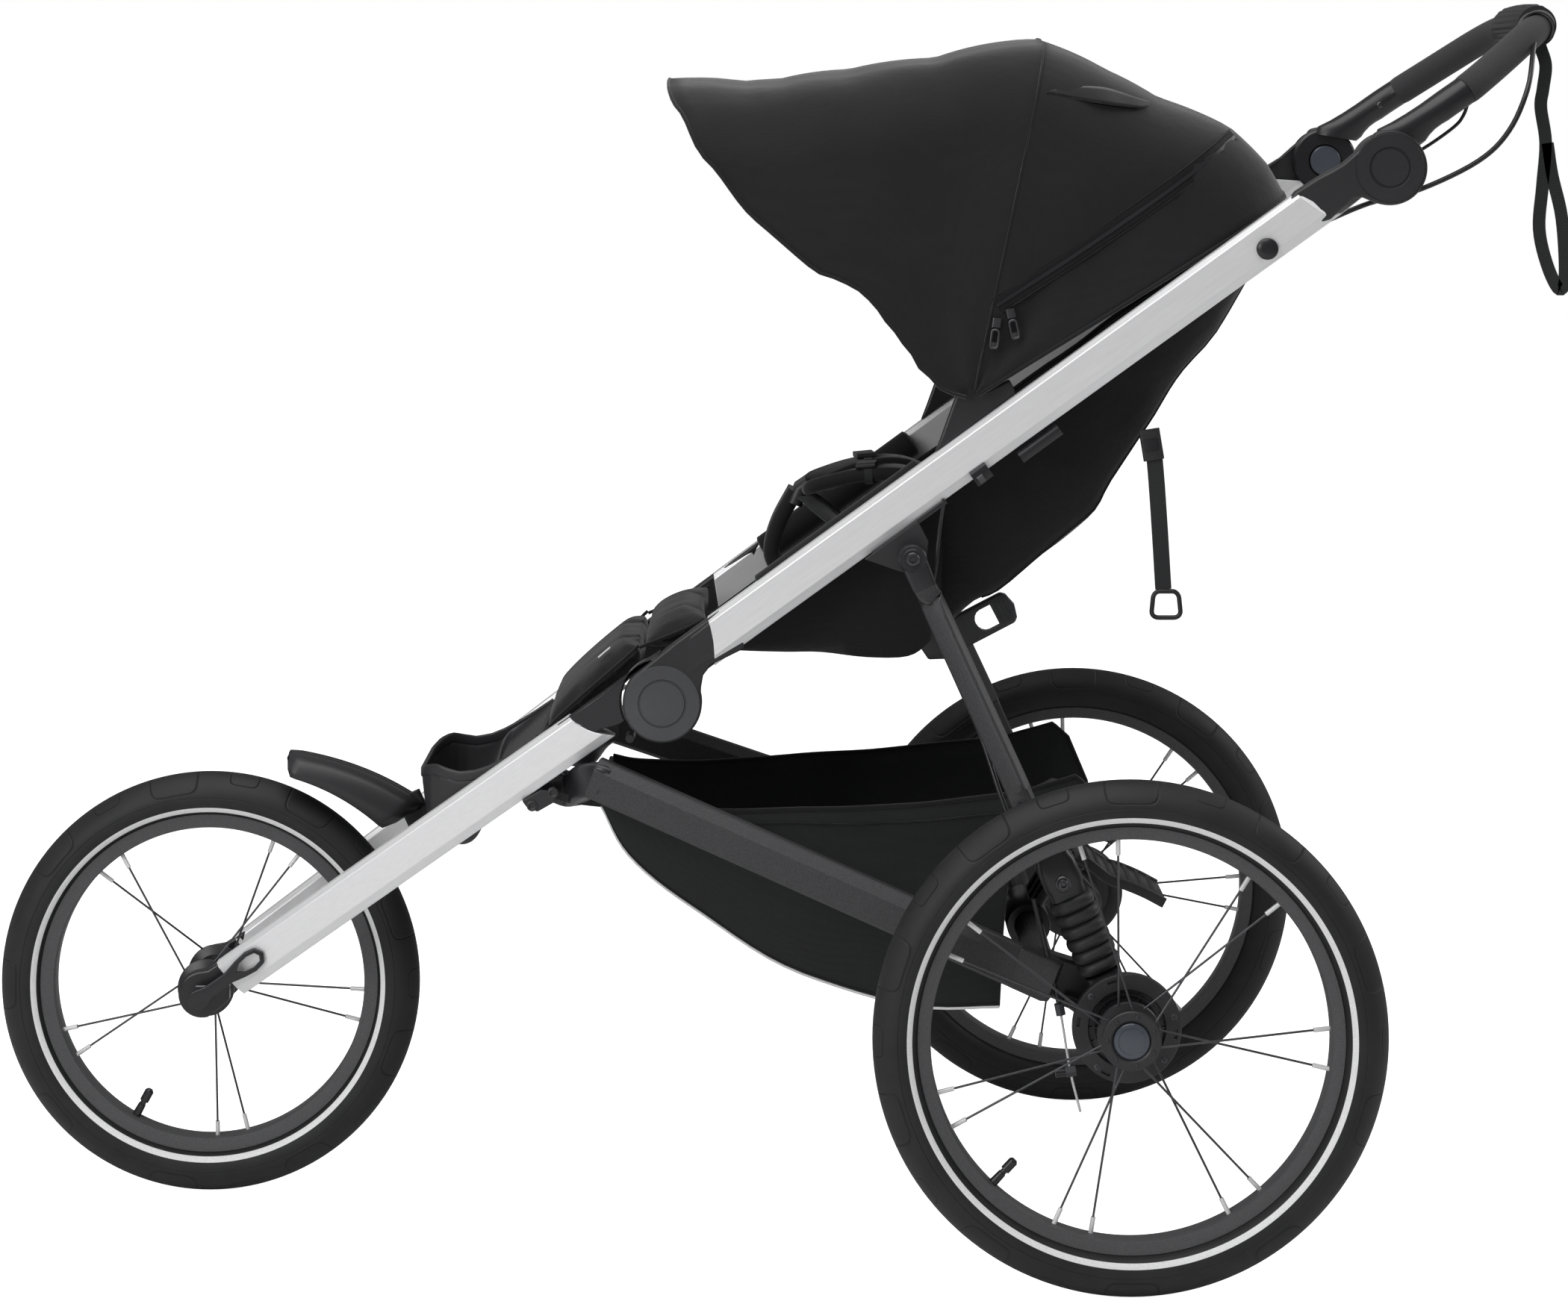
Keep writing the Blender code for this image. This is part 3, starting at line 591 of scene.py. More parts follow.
def bolt(name, centre, radius, side, material):
    """A round head with a hex socket."""
    x, y, z = centre
    profile = [(radius, y), (radius, y + side * 0.0022), (0.84 * radius, y + side * 0.0034),
               (0.52 * radius, y + side * 0.0036)]
    head = turned(name, profile, (x, z), material, 24, 40, caps=False)
    hexagon = [(x + 0.5 * radius * math.cos(TAU * i / 6), y + side * 0.0036,
                z + 0.5 * radius * math.sin(TAU * i / 6)) for i in range(6)]
    floor = [(p[0], y + side * 0.0012, p[2]) for p in hexagon]
    socket = loft("socket", [hexagon, floor], material, caps=False)
    base = mesh("socket_floor", floor, [tuple(range(6))], material)
    collar = [(0.5 * radius, y + side * 0.0036), (0.53 * radius, y + side * 0.00361)]
    lip = turned("lip", collar, (x, z), material, 24, caps=False)
    return merge(name, [head, socket, base, lip])


# ------------------------------------------------------------------- wheels
def tyre_section(outer, y):
    """From one bead round the tread to the other, bulging past the rim."""
    half = [(0.0385, 0.0122), (0.0362, 0.0172), (0.0318, 0.0212), (0.0262, 0.0233), (0.0205, 0.0235),
            (0.015, 0.0218), (0.0095, 0.018), (0.0045, 0.0125), (0.0012, 0.0065), (0.0, 0.0)]
    full = [Vector((outer - d, y + w, 0)) for d, w in half]
    full += [Vector((outer - d, y - w, 0)) for d, w in half[-2::-1]]
    return [(p.x, p.y) for p in curve_points(full, 6)]


def wheel(label, body, centre, outer, inner, pairs, spread, hub, flanges, valve, material):
    node = "front" if label == "front" else f"rear_{label}"
    y = centre.y
    section = tyre_section(outer, y)
    section += [(outer - 0.0365, y - 0.0105), (outer - 0.0365, y + 0.0105)]
    tread = hoop(node + "_tyre_look", section, centre, material, 160, 60, at=centre)
    put(tread, body, node + "_tyre", slot="tyre_rubber")

    lip = outer - 0.0383
    rim = [(inner, y - 0.0085), (inner, y + 0.0085), (inner + 0.0012, y + 0.0108),
           (lip - 0.0035, y + 0.0128), (lip - 0.0008, y + 0.013), (lip, y + 0.012), (lip, y - 0.012),
           (lip - 0.0008, y - 0.013), (lip - 0.0035, y - 0.0128), (inner + 0.0012, y - 0.0108)]
    parts = [hoop("rim", rim, centre, RIM, 160, 35, at=centre)]
    a = math.radians(valve)
    out = Vector((math.cos(a), 0, math.sin(a)))
    root = Vector(centre) + out * (inner + 0.001)
    stem = []
    for depth in (0.0, 0.013, 0.0135, 0.016, 0.0165, 0.027, 0.029):
        stem.append(root - out * depth)
    widths = (1.15, 1.0, 0.8, 0.8, 1.2, 1.2, 0.7)
    parts.append(loft("valve", carried(stem, circle(0.0036, 14), (0, 1, 0), widths), SATIN))
    put(merge(node + "_rim_look", parts), body, node + "_rim", slot="grey_rim")

    parts = [hub]
    for angle in pairs:
        for side in (-1, 1):
            far = math.radians(angle + side * spread)
            near = math.radians(angle - side * 16.0)
            a = Vector((centre.x + 0.0215 * math.cos(near), flanges[side > 0],
                        centre.z + 0.0215 * math.sin(near)))
            end = Vector((math.cos(far), 0, math.sin(far)))
            b = Vector(centre) + end * (inner + 0.001) + Vector((0, side * 0.003, 0))
            run = (b - a).normalized()
            parts.append(tube("spoke", [a, b - run * 0.008], 0.00105, STEEL, 8, (0, 1, 0)))
            parts.append(tube("nipple", [b - run * 0.0155, b - run * 0.015, b - run * 0.0012, b], 0.0021,
                              NIPPLE, 10, (0, 1, 0)))
            parts.append(tube("elbow", [a - Vector((0, 0.0015, 0)), a + Vector((0, 0.0015, 0))], 0.0016,
                              BRIGHT, 8))
    put(merge(node + "_hub_and_spokes_look", parts), body, node + "_hub_and_spokes", slot="dark_steel")


def front_wheel():
    c = FRONT_AXLE
    near = [(0.0052, 0.04), (0.014, 0.0408), (0.0165, 0.04), (0.0172, 0.0365), (0.025, 0.0335),
            (0.0268, 0.0325), (0.0268, 0.03), (0.025, 0.029), (0.0185, 0.0255), (0.0155, 0.016)]
    profile = [(r, -y) for r, y in near] + [(0.015, 0.0)] + near[::-1]
    hub = hoop("hub", profile, c, SATIN, 64, 30, at=c)
    rubber = tyre_rubber("front_tyre_rubber", FRONT_R, 9.0, (0.1635, 0.1686))
    wheel("front", "front_wheel", c, FRONT_R, 0.1472, (130.5, 60.5, -9.2, -81.8, -156.2), 5.5, hub,
          (-0.0315, 0.0315), 241, rubber)


def rear_wheel(side, label, rubber):
    c = Vector((0, side * TRACK, REAR_R))
    face = c.y + side * 0.014

    def out(d):
        return face - side * d

    profile = [(0.0163, out(0.0015)), (0.0185, out(0.0)), (0.025, out(0.0)), (0.026, out(0.001)),
               (0.026, out(0.005)), (0.0235, out(0.006)), (0.02, out(0.01)), (0.019, out(0.018)),
               (0.02, out(0.024)), (0.027, out(0.026)), (0.028, out(0.0275)), (0.028, out(0.029)),
               (0.023, out(0.031)), (0.017, out(0.034)), (0.017, out(0.043)), (0.0064, out(0.043)),
               (0.0064, out(0.018)), (0.0001, out(0.018)), (0.0001, out(0.0068)), (0.0163, out(0.0068))]
    hub = hoop("hub", profile, c, BLACK, 72, 30, at=c)
    rivets = [hub]
    for i in range(7):
        a = math.radians(76 - i * 360 / 7)
        spot = (c.x + 0.0212 * math.cos(a), face, c.z + 0.0212 * math.sin(a))
        rivets.append(dome("rivet", spot, 0.0019, 0.001, side, BLACK, 14))
    hub = merge("hub", rivets)
    wheel(label, f"rear_wheel_{label}", c, REAR_R, 0.174, (150.1, 99.2, 47.8, -3.1, -55.2, -107.0, -158.8),
          5.6, hub, (out(0.027), out(0.0055)), 226.5, rubber)
    cap = [(0.0157, out(0.003)), (0.0157, out(0.0006)), (0.0148, out(-0.0004)), (0.012, out(-0.001)),
           (0.0116, out(-0.0004)), (0.006, out(-0.001)), (0.0008, out(-0.0012))]
    put(turned(f"hub_button_{label}_look", cap, c, SLATE, 56, 30), f"hub_button_{label}",
        f"hub_button_{label}", slot="grey_plastic")


def brake_plate(side, c):
    """The brake's ring with its slots, ribs and cross-head screws."""
    face = side * 0.2892
    rim = [(0.0335, side * 0.279), (0.0335, side * 0.288), (0.0345, face), (0.047, face),
           (0.048, side * 0.2882), (0.048, side * 0.28), (0.0455, side * 0.277),
           (0.04, side * 0.2766)]
    brake = hoop("brake", rim, c, BLACK, 96, 30)
    slots = []
    for i, a in enumerate((108, -6, -116, 172)):
        t = math.radians(a)
        spot = Vector((c.x + 0.0432 * math.cos(t), face, c.z + 0.0432 * math.sin(t)))
        tangent = Vector((-math.sin(t), 0, math.cos(t)))
        slots.append(bar("slot", [spot - tangent * 0.0042, spot + tangent * 0.0042],
                         oblong(0.005, 0.0028, 0.0005, 1), SATIN, up=(math.cos(t), 0, math.sin(t))))
    parts = [cut(brake, slots)]
    steps = [(0.0338, 0.2835), (0.0305, 0.2835), (0.0305, 0.286), (0.0282, 0.286), (0.0282, 0.283),
             (0.0255, 0.283), (0.0255, 0.2868), (0.0232, 0.2868), (0.0232, 0.2836), (0.0205, 0.2836),
             (0.0205, 0.2876), (0.0178, 0.2876), (0.0178, 0.279), (0.0338, 0.279)]
    parts.append(hoop("ribs", sided(side, steps), c, SATIN, 72, 30))
    for i in range(16):
        t = TAU * i / 16
        a = c + Vector((0.0185 * math.cos(t), 0, 0.0185 * math.sin(t)))
        b = c + Vector((0.0335 * math.cos(t), 0, 0.0335 * math.sin(t)))
        a.y = b.y = side * 0.2846
        parts.append(bar("fin", [a, b], oblong(0.0012, 0.003, 0.0003, 1), SATIN, up=(0, 1, 0)))
    for a in (138, 14, -128, -40):
        t = math.radians(a)
        spot = (c.x + 0.0425 * math.cos(t), face, c.z + 0.0425 * math.sin(t))
        head = dome("screw", spot, 0.003, 0.001, side, GREY, 20)
        for turn in (20, 110):
            q = math.radians(turn)
            d = Vector((math.cos(q), 0, math.sin(q))) * 0.0019
            s = Vector((spot[0], face + side * 0.001, spot[2]))
            head = merge("screw",
                         [head, bar("cross", [s - d, s + d], oblong(0.0007, 0.0007, 0.0002, 1), SATIN)])
        parts.append(head)
    return parts


def swing_arm(side, label):
    """Arm, axle eye, boss and cable clamp, with the brake plate."""
    c = Vector((0, side * TRACK, REAR_R))
    parts = brake_plate(side, c)
    outline = arc(SWING_PIVOT, 0.0205, 60, 290, 18) + arc((0.0, REAR_R), 0.022, 250, 420,
                                                          18) + [(-0.006, 0.262)]
    parts.append(plate("arm", outline, side * 0.2225, side * 0.2468, BLACK, 0.003))
    parts.append(turned("eye", [(0.0215, side * 0.24), (0.022, side * 0.241), (0.022, side * 0.279)],
                        c, BLACK, 48))
    boss = [Vector((0.0, side * 0.252, REAR_R)), Vector((-0.015, side * 0.252, 0.2588)),
            Vector((-0.0186, side * 0.252, 0.267))]
    parts.append(bar("boss", boss, oblong(0.031, 0.033, 0.008), BLACK, up=(0, 1, 0),
                     sizes=[0.8, 1.0, 1.05]))
    nut = Vector((-0.043, side * 0.25, 0.238))
    parts.append(bar("clamp", [nut + Vector((-0.01, 0, 0.004)), nut + Vector((0.012, 0, -0.004))],
                     oblong(0.012, 0.014, 0.003), SATIN, up=(0, 1, 0)))
    put(merge(f"swing_arm_{label}_look", parts), f"swing_arm_{label}", f"swing_arm_{label}",
        slot="black_plastic")


def bellows(side, label):
    """Ribbed boot with six rounded folds, fixed to the struts with its own copy of its mesh; nothing makes
    it close with the suspension.
    """
    top = Vector((-0.048, side * 0.252, 0.3338))
    base = Vector((-0.0195, side * 0.252, 0.2685))
    along = (base - top).normalized()
    across = Vector((0, 1, 0))
    over = across.cross(along)
    loops = []
    steps = 84
    for i in range(steps + 1):
        t = i / steps
        wave = abs(math.sin(math.pi * 6 * t)) ** 0.55
        size = 0.0162 + 0.0044 * wave - 0.0008 * t
        centre = top.lerp(base, t)
        loops.append([centre + across * a * size + over * b * size for a, b in oblong(2.0, 2.0, 0.78, 7)])
    boot = loft(f"bellows_{label}_look", loops, BOOT, smooth=70)
    put(boot, "struts", f"bellows_{label}", slot="boot_rubber")
    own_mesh(boot)


def strut(side, label):
    """Flat tube with a rounded end casting at the top and the spring block at the foot."""
    at = beside(side)
    path = [at(-0.175, 0.196, 0.601), at(-0.17, 0.1962, 0.593), at(-0.16, 0.1985, 0.571),
            at(-0.1, 0.24, 0.442), at(-0.0895, 0.2465, 0.418), at(-0.066, 0.252, 0.366)]
    body = bar("tube", curve_points(path, 4), oblong(0.0145, 0.0212, 0.0034, 3), TUBE, smooth=40)
    cap = turned("cap", sided(side, [(0.0118, 0.188), (0.013, 0.1895), (0.013, 0.2025),
                         (0.0118, 0.2042)]), STRUT_TOP, SATIN, 40, 30)
    neck = bar("neck", [at(-0.185, 0.196, 0.626), at(-0.179, 0.196, 0.6115),
                        at(-0.1752, 0.196, 0.6025), at(-0.1738, 0.196, 0.5995)],
               oblong(0.0158, 0.0236, 0.004, 4), SATIN, sizes=[1.04, 1.0, 0.97, 0.93])
    recess = turned("recess", sided(side, [(0.0094, 0.2043), (0.0088, 0.2048)]), STRUT_TOP, SATIN, 32)
    parts = [body, cap, neck, recess, bolt("bolt", (-0.185, side * 0.2046, 0.6262), 0.0064, side, STEEL),
             bolt("bolt", (-0.0885, side * 0.2535, 0.4135), 0.0058, side, SATIN)]
    along = Vector((0.3865, 0, -0.9223))
    top = at(-0.0655, 0.252, 0.3735)
    steps = [(0.0, 0.8), (0.002, 0.86), (0.006, 0.88), (0.012, 1.0), (0.03, 1.0), (0.036, 0.9),
             (0.043, 0.9)]
    loops = []
    for d, k in steps:
        centre = top + along * d
        loops += carried([centre - along * 0.001, centre, centre + along * 0.001],
                         [(a * k, b * k) for a, b in oblong(0.031, 0.036, 0.008, 5)])[1:2]
    parts.append(loft("block", loops, SATIN, smooth=40))
    parts.append(turned("washer", sided(side, [(0.0072, 0.2665), (0.0072, 0.269), (0.0064, 0.2698)]),
                        (-0.0545, 0.347), STEEL, 32, 30))
    parts.append(bolt("bolt", (-0.0545, side * 0.269, 0.347), 0.0052, side, STEEL))
    put(merge(f"strut_{label}_look", parts), "struts", f"strut_{label}", slot="grey_coated_tube")


def stay(side, label):
    at = beside(side)
    a, b = at(-0.474, 0.1525, 0.4212), at(-0.094, 0.2605, 0.2735)
    w, h = 0.0215, 0.0375
    shape = [(w / 2, -h / 2 + 0.003), (w / 2, h / 2 - 0.0105), (w / 2 - 0.005, h / 2 - 0.0012),
             (w / 2 - 0.007, h / 2), (-w / 2 + 0.007, h / 2), (-w / 2 + 0.005, h / 2 - 0.0012),
             (-w / 2, h / 2 - 0.0105), (-w / 2, -h / 2 + 0.003), (-w / 2 + 0.003, -h / 2),
             (w / 2 - 0.003, -h / 2)]
    parts = [bar("tube", [a, b], shape, TUBE, smooth=20)]
    run = (b - a).normalized()
    cap = [b - run * 0.0008, b + run * 0.0002, b + run * 0.0012, b + run * 0.03, b + run * 0.036]
    parts.append(bar("cap", cap, oblong(0.025, 0.038, 0.006, 4), TUBE,
                     sizes=[0.985, 1.0, 1.0, 1.0, 0.9]))
    parts.append(dome("bolt", (-0.0715, side * 0.2728, 0.2635), 0.0052, 0.003, side, SATIN))
    knuckle = [at(-0.53, 0.0995, 0.4104), at(-0.512, 0.1, 0.404), at(-0.497, 0.106, 0.401),
               at(-0.484, 0.134, 0.413), at(-0.47, 0.153, 0.419), at(-0.462, 0.156, 0.4165)]
    parts.append(bar("knuckle", curve_points(knuckle, 5), oblong(0.02, 0.031, 0.005, 4), SATIN))
    parts.append(turned("eye", sided(side, [(0.0155, 0.0905), (0.0165, 0.0915), (0.0165, 0.1078),
                                (0.0155, 0.1085)]), (-0.53, 0.4104), SATIN, 40, 30))
    put(merge(f"rear_stay_{label}_look", parts), "rear_frame", f"rear_stay_{label}",
        slot="grey_coated_tube")


# --------------------------------------------------------------- main frame
def rail_section(w, h, steps=5):
    """Flat outer face with a narrow top bevel and a wider lower bevel."""
    inner = [(-w / 2, -h / 2 + 0.006 + (h - 0.0105) * i / steps) for i in range(steps + 1)]
    outer = [(w / 2, h / 2 - 0.004 - (h - 0.0125) * i / steps) for i in range(steps + 1)]
    return inner + [(-w / 2 + 0.0035, h / 2), (w / 2 - 0.006, h / 2)] + outer + [
        (w / 2 - 0.005, -h / 2), (-w / 2 + 0.004, -h / 2)]


def rail(name, side, a, b, cut_a, cut_b, body, node):
    """A straight rail. An end's cut is (reach at the lower edge, its curve, inner start, inner reach)."""
    a, b = Vector(a), Vector(b)
    run = (b - a).normalized()
    across = Vector((0, side, 0))
    w, h = 0.022, 0.039
    loops = []
    for i in range(9):
        centre = a.lerp(b, i / 8)
        cut_here = cut_a if i == 0 else (cut_b if i == 8 else None)
        loop = []
        for u, v in rail_section(w, h):
            push = 0.0
            if cut_here:
                reach, power, start, inner = cut_here
                share = max(0.0, 0.5 - v / h)
                depth = 0.5 - u / w
                push = reach * share ** power * (1 - depth) + (start + inner * share) * depth
            loop.append(centre + across * u + OVER * v + run * push)
        loops.append(loop)
    obj = loft(name, loops, ALUMINIUM, smooth=25)
    soften(obj, 0.0007, 2, 20)
    return put(obj, body, node, slot="satin_aluminium")


def low_rail_y(x):
    """The lower rail's distance from the middle."""
    return 0.054 + 0.2434 * (x + 0.83)


def high_rail_y(x):
    """The upper rail's distance from the middle."""
    return 0.16 + 0.07 * (x + 0.37)


def on_rail(x, side, drop=0.0):
    """The upper rail's centre line at x, or a point above or below it."""
    return Vector((x, side * high_rail_y(x), rail_z(x))) + OVER * drop


def rails(side, label):
    def low(x):
        return Vector((x, side * low_rail_y(x), rail_z(x)))

    def high(x):
        return Vector((x, side * high_rail_y(x), rail_z(x)))

    rail(f"lower_rail_{label}_look", side, low(-0.822), low(-0.4865), (0.004, 1.5, 0.0, 0.004),
         (0.0247, 1.85, 0.0, 0.0247), "lower_frame", f"lower_rail_{label}")
    rail(f"upper_rail_{label}_look", side, high(-0.3595), high(0.1704), (-0.02, 1.5, 0.0, -0.02),
         (0.0135, 1.1, 0.0128, 0.0468), "upper_frame", f"upper_rail_{label}")


def lower_hinge(side, label):
    """Casting from the lower rail to the pivot disc. Its face runs just below the face of the rail."""
    top = [(x, rail_z(x) + 0.0238) for x in (-0.51, -0.48, -0.44, -0.413)]
    ring = arc(HINGE, 0.038, 100, 208, 18)
    under = [(-0.4517, 0.469), (-0.46, 0.4664), (-0.4669, 0.4645), (-0.476, 0.46), (-0.495, 0.449)]
    outline = top + ring + under
    body = loft("casting",
                [[(x, side * 0.1375, z) for x, z in outline],
                 [(x, side * (low_rail_y(x) + 0.0098), z) for x, z in outline]], SATIN, smooth=35)
    soften(body, 0.0022)
    lug = turned("lug", sided(side, [(0.033, 0.137), (0.034, 0.138), (0.034, 0.151)]),
                 HINGE, SATIN, 56, 30)
    pin = turned("pin", sided(side, [(0.0042, 0.139), (0.0042, 0.164), (0.0036, 0.165)]),
                 (-0.4412, 0.4577), SATIN, 24, 30)
    put(merge(f"lower_hinge_{label}_look", [body, lug, pin]), "lower_frame", f"lower_hinge_{label}",
        slot="black_plastic")


def upper_hinge(side, label):
    """Pivot disc and the arm that holds the upper rail."""
    top = [(x, rail_z(x) + 0.0236) for x in (-0.4, -0.38, -0.34, -0.325)]
    side_edge = [(-0.338, 0.54), (-0.352, 0.533), (-0.3668, 0.526), (-0.3745, 0.516), (-0.3765, 0.504)]
    ring = arc(HINGE, 0.0362, 14, -226, 44)
    body = plate("casting", top + side_edge + ring, side * 0.1522, side * 0.169, BLACK, 0.0026, segments=4)
    edge = turned("rim", sided(side, [(0.0345, 0.1688), (0.0338, 0.1702), (0.0222, 0.1706),
                          (0.0214, 0.1696), (0.0206, 0.1696), (0.02, 0.1708),
                          (0.001, 0.171)]), HINGE, GREY, 72, 25)
    arm = bar("arm", [Vector((-0.398, side * 0.16, rail_z(-0.398))),
                      Vector((-0.352, side * 0.1625, rail_z(-0.352)))], rail_section(0.017, 0.037), BLACK)
    soften(arm, 0.0012, 2)
    put(merge(f"upper_hinge_{label}_look", [body, edge, arm]), "upper_frame", f"upper_hinge_{label}",
        slot="black_plastic")


def strut_bracket(side, label):
    """Triangular plate under the rail, with a flange along the rail."""
    outline = [(-0.2279, 0.6235), (-0.1797, 0.6585), (-0.17, 0.64), (-0.172, 0.623),
               (-0.185, 0.609), (-0.1947, 0.6121)]
    body = plate("plate", outline, side * 0.18, side * 0.1825, BLACK, 0.0008)
    flange = bar("flange", [on_rail(x, side, -0.0212) for x in (-0.232, -0.166)],
                 oblong(0.018, 0.005, 0.0012, 2), SATIN)
    put(merge(f"strut_bracket_{label}_look", [body, flange]), "upper_frame", f"strut_bracket_{label}",
        slot="black_plastic")


def handle_bracket(side, label):
    """Casting that swells from inside the upper rail to the tilt disc."""
    top = [(0.16, 0.9575), (0.1798, 0.9703), (0.1903, 0.9762), (0.2006, 0.9823), (0.2133, 0.9934),
           (0.226, 1.0038)]
    disc = arc(HANDLE, 0.0338, 112, -112, 44)
    under = [(0.2191, 0.9523), (0.211, 0.9514), (0.203, 0.944), (0.1905, 0.9325)]
    root = [(0.17, rail_z(0.17) - 0.013), (0.14, rail_z(0.14) - 0.013),
            (0.14, rail_z(0.14) + 0.015)]
    outline = top + disc + under + root

    def face_y(x):
        t = min(1.0, max(0.0, (x - 0.172) / 0.043))
        return 0.2064 + 0.0086 * t * t * (3 - 2 * t) - 0.0012 * (x < 0.172)

    def back_y(x):
        t = min(1.0, max(0.0, (x - 0.185) / 0.025))
        return 0.189 + 0.01 * t * t * (3 - 2 * t)

    body = loft("body", [[(x, side * back_y(x), z) for x, z in outline],
                         [(x, side * face_y(x), z) for x, z in outline]], BLACK, smooth=35)
    soften(body, 0.0024, 4)
    face = turned("face", sided(side, [(0.0312, 0.2148), (0.0304, 0.2168), (0.019, 0.2172),
                           (0.018, 0.216), (0.0172, 0.216), (0.0165, 0.2171),
                           (0.001, 0.2173)]), HANDLE, BLACK, 72, 25)
    put(merge(f"handle_bracket_{label}_look", [body, face]), "upper_frame", f"handle_bracket_{label}",
        slot="black_plastic")


def handlebar_path(side):
    """From the tilt disc up the socket and round the grip to the middle."""
    turns = [(0.265, 0.1872, 1.013), (0.2743, 0.1872, 1.019), (0.296, 0.1858, 1.035),
             (0.3188, 0.181, 1.0505), (0.34, 0.164, 1.0655), (0.362, 0.142, 1.0815),
             (0.382, 0.12, 1.096), (0.397, 0.098, 1.106), (BAR[0], 0.078, BAR[1]),
             (BAR[0], 0.06, BAR[1])]
    return [Vector((x, side * y, z)) for x, y, z in turns]


def socket_loops(side, line):
    """Sections of the socket: a tall flare off the disc, then circles along the bar's centre line."""
    flare = (((0.233, 1.006), (0.2745, 0.999)), ((0.236, 1.0135), (0.2795, 1.003)),
             ((0.248, 1.0195), (0.283, 1.0082)), ((0.261, 1.0272), (0.288, 1.0135)),
             ((0.2741, 1.0358), (0.2935, 1.0176)))
    sections = []
    for i, ((x0, z0), (x1, z1)) in enumerate(flare):
        centre = Vector(((x0 + x1) / 2, side * 0.187, (z0 + z1) / 2))
        tall = Vector(((x0 - x1) / 2, 0, (z0 - z1) / 2))
        sections.append((centre, tall, Vector((0, side * (0.0112 + 0.0004 * i), 0))))
    for i, point in enumerate(line):
        ahead = (line[min(i + 1, len(line) - 1)] - line[max(i - 1, 0)]).normalized()
        if point.x < 0.29:
            continue
        rise = ahead.cross(Vector((0, 1, 0))).normalized()
        if rise.z < 0:
            rise = -rise
        out = rise.cross(ahead)
        if out.y * side < 0:
            out = -out
        sections.append((point, rise * 0.0134, out * 0.0134))
    count = 32
    return [[centre + rise * math.cos(TAU * k / count) + out * math.sin(TAU * k / count)
             for k in range(count)] for centre, rise, out in sections]


def handlebar():
    parts = []
    for side, label in SIDES:
        line = curve_points(handlebar_path(side), 6)
        seam = 17
        half = line + [Vector((BAR[0], 0, BAR[1]))]
        parts.append(tube("bar", half, 0.0108, SATIN, 20))
        parts.append(loft("socket", socket_loops(side, line[6:seam + 1]), SATIN, smooth=60))
        spot = line[seam - 5]
        parts.append(dome("screw", (spot.x, side * (abs(spot.y) - 0.0125), spot.z), 0.0036, 0.0016, -side,
                          STEEL, 18))
        parts.append(dome("eyelet", (spot.x, side * (abs(spot.y) - 0.012), spot.z), 0.0056, 0.001, -side,
                          SATIN, 24))
        lug = sided(side, [(0.0159, 0.1915), (0.0159, 0.1862), (0.0166, 0.185), (0.03, 0.185),
               (0.0318, 0.1865), (0.0318, 0.1975), (0.03, 0.1985)])
        parts.append(turned("lug", lug, HANDLE, SATIN, 56, 30, caps=False))
        parts.append(turned("floor", sided(side, [(0.0159, 0.1915), (0.001, 0.1915)]), HANDLE, SATIN, 40,
                            caps=False))
        grip = line[seam:]
        sizes = [0.955] + [1.0] * (len(grip) - 2) + [0.97]
        pad = loft(f"handle_grip_{label}_look", carried(grip, circle(0.014, 28), sizes=sizes), FOAM,
                   smooth=60)
        put(pad, "handlebar", f"handle_grip_{label}", slot="grip_foam")
        cap = sided(side, [(0.015, 0.186), (0.0152, 0.1822), (0.014, 0.1808), (0.006, 0.18),
               (0.001, 0.1799)])
        put(turned(f"handle_button_{label}_look", cap, HANDLE, SLATE, 44, 30), f"handle_button_{label}",
            f"handle_button_{label}", slot="grey_plastic")
    put(merge("handlebar_look", parts), "handlebar", "handlebar", slot="black_tube")


def twist_grip():
    """Ridged brake twist at the middle of the bar."""
    loops = []
    ridges = 22
    count = ridges * 6
    stations = [(-0.0665, 0.0125, 0.0), (-0.066, 0.0182, 0.0), (-0.06, 0.019, 0.2), (-0.05, 0.0205, 1.0),
                (-0.02, 0.0212, 1.0), (0.02, 0.0212, 1.0), (0.05, 0.0205, 1.0), (0.06, 0.019, 0.2),
                (0.066, 0.0182, 0.0), (0.0665, 0.0125, 0.0)]
    for y, r, depth in stations:
        loop = []
        for i in range(count):
            a = TAU * i / count
            size = r - 0.0011 * depth * (0.5 - 0.5 * math.cos(ridges * a)) ** 2
            loop.append((BAR[0] + size * math.cos(a), y, BAR[1] + size * math.sin(a)))
        loops.append(loop)
    put(loft("hand_brake_twist_look", loops, BLACK, smooth=50), "hand_brake", "hand_brake_twist",
        slot="black_plastic")


# -------------------------------------------------------------------- front
def front_dropouts():
    for side, label in SIDES:
        top = [(-0.822, rail_z(-0.822) + 0.0215), (-0.842, 0.223)]
        outline = top + arc(FRONT_AXLE, 0.0222, 95, 285, 20) + [(-0.822, rail_z(-0.822) - 0.0205)]
        body = plate("dropout", outline, side * 0.046, side * 0.0595, SATIN, 0.0025)
        nut = turned("nut", sided(side, [(0.0105, 0.0593), (0.0105, 0.0612), (0.0092, 0.0622)]),
                     FRONT_AXLE, STEEL, 6, 20)
        put(merge(f"front_dropout_{label}_look", [body, nut]), "lower_frame", f"front_dropout_{label}",
            slot="black_plastic")
    keep("front_axle", STEEL, 0.0004)


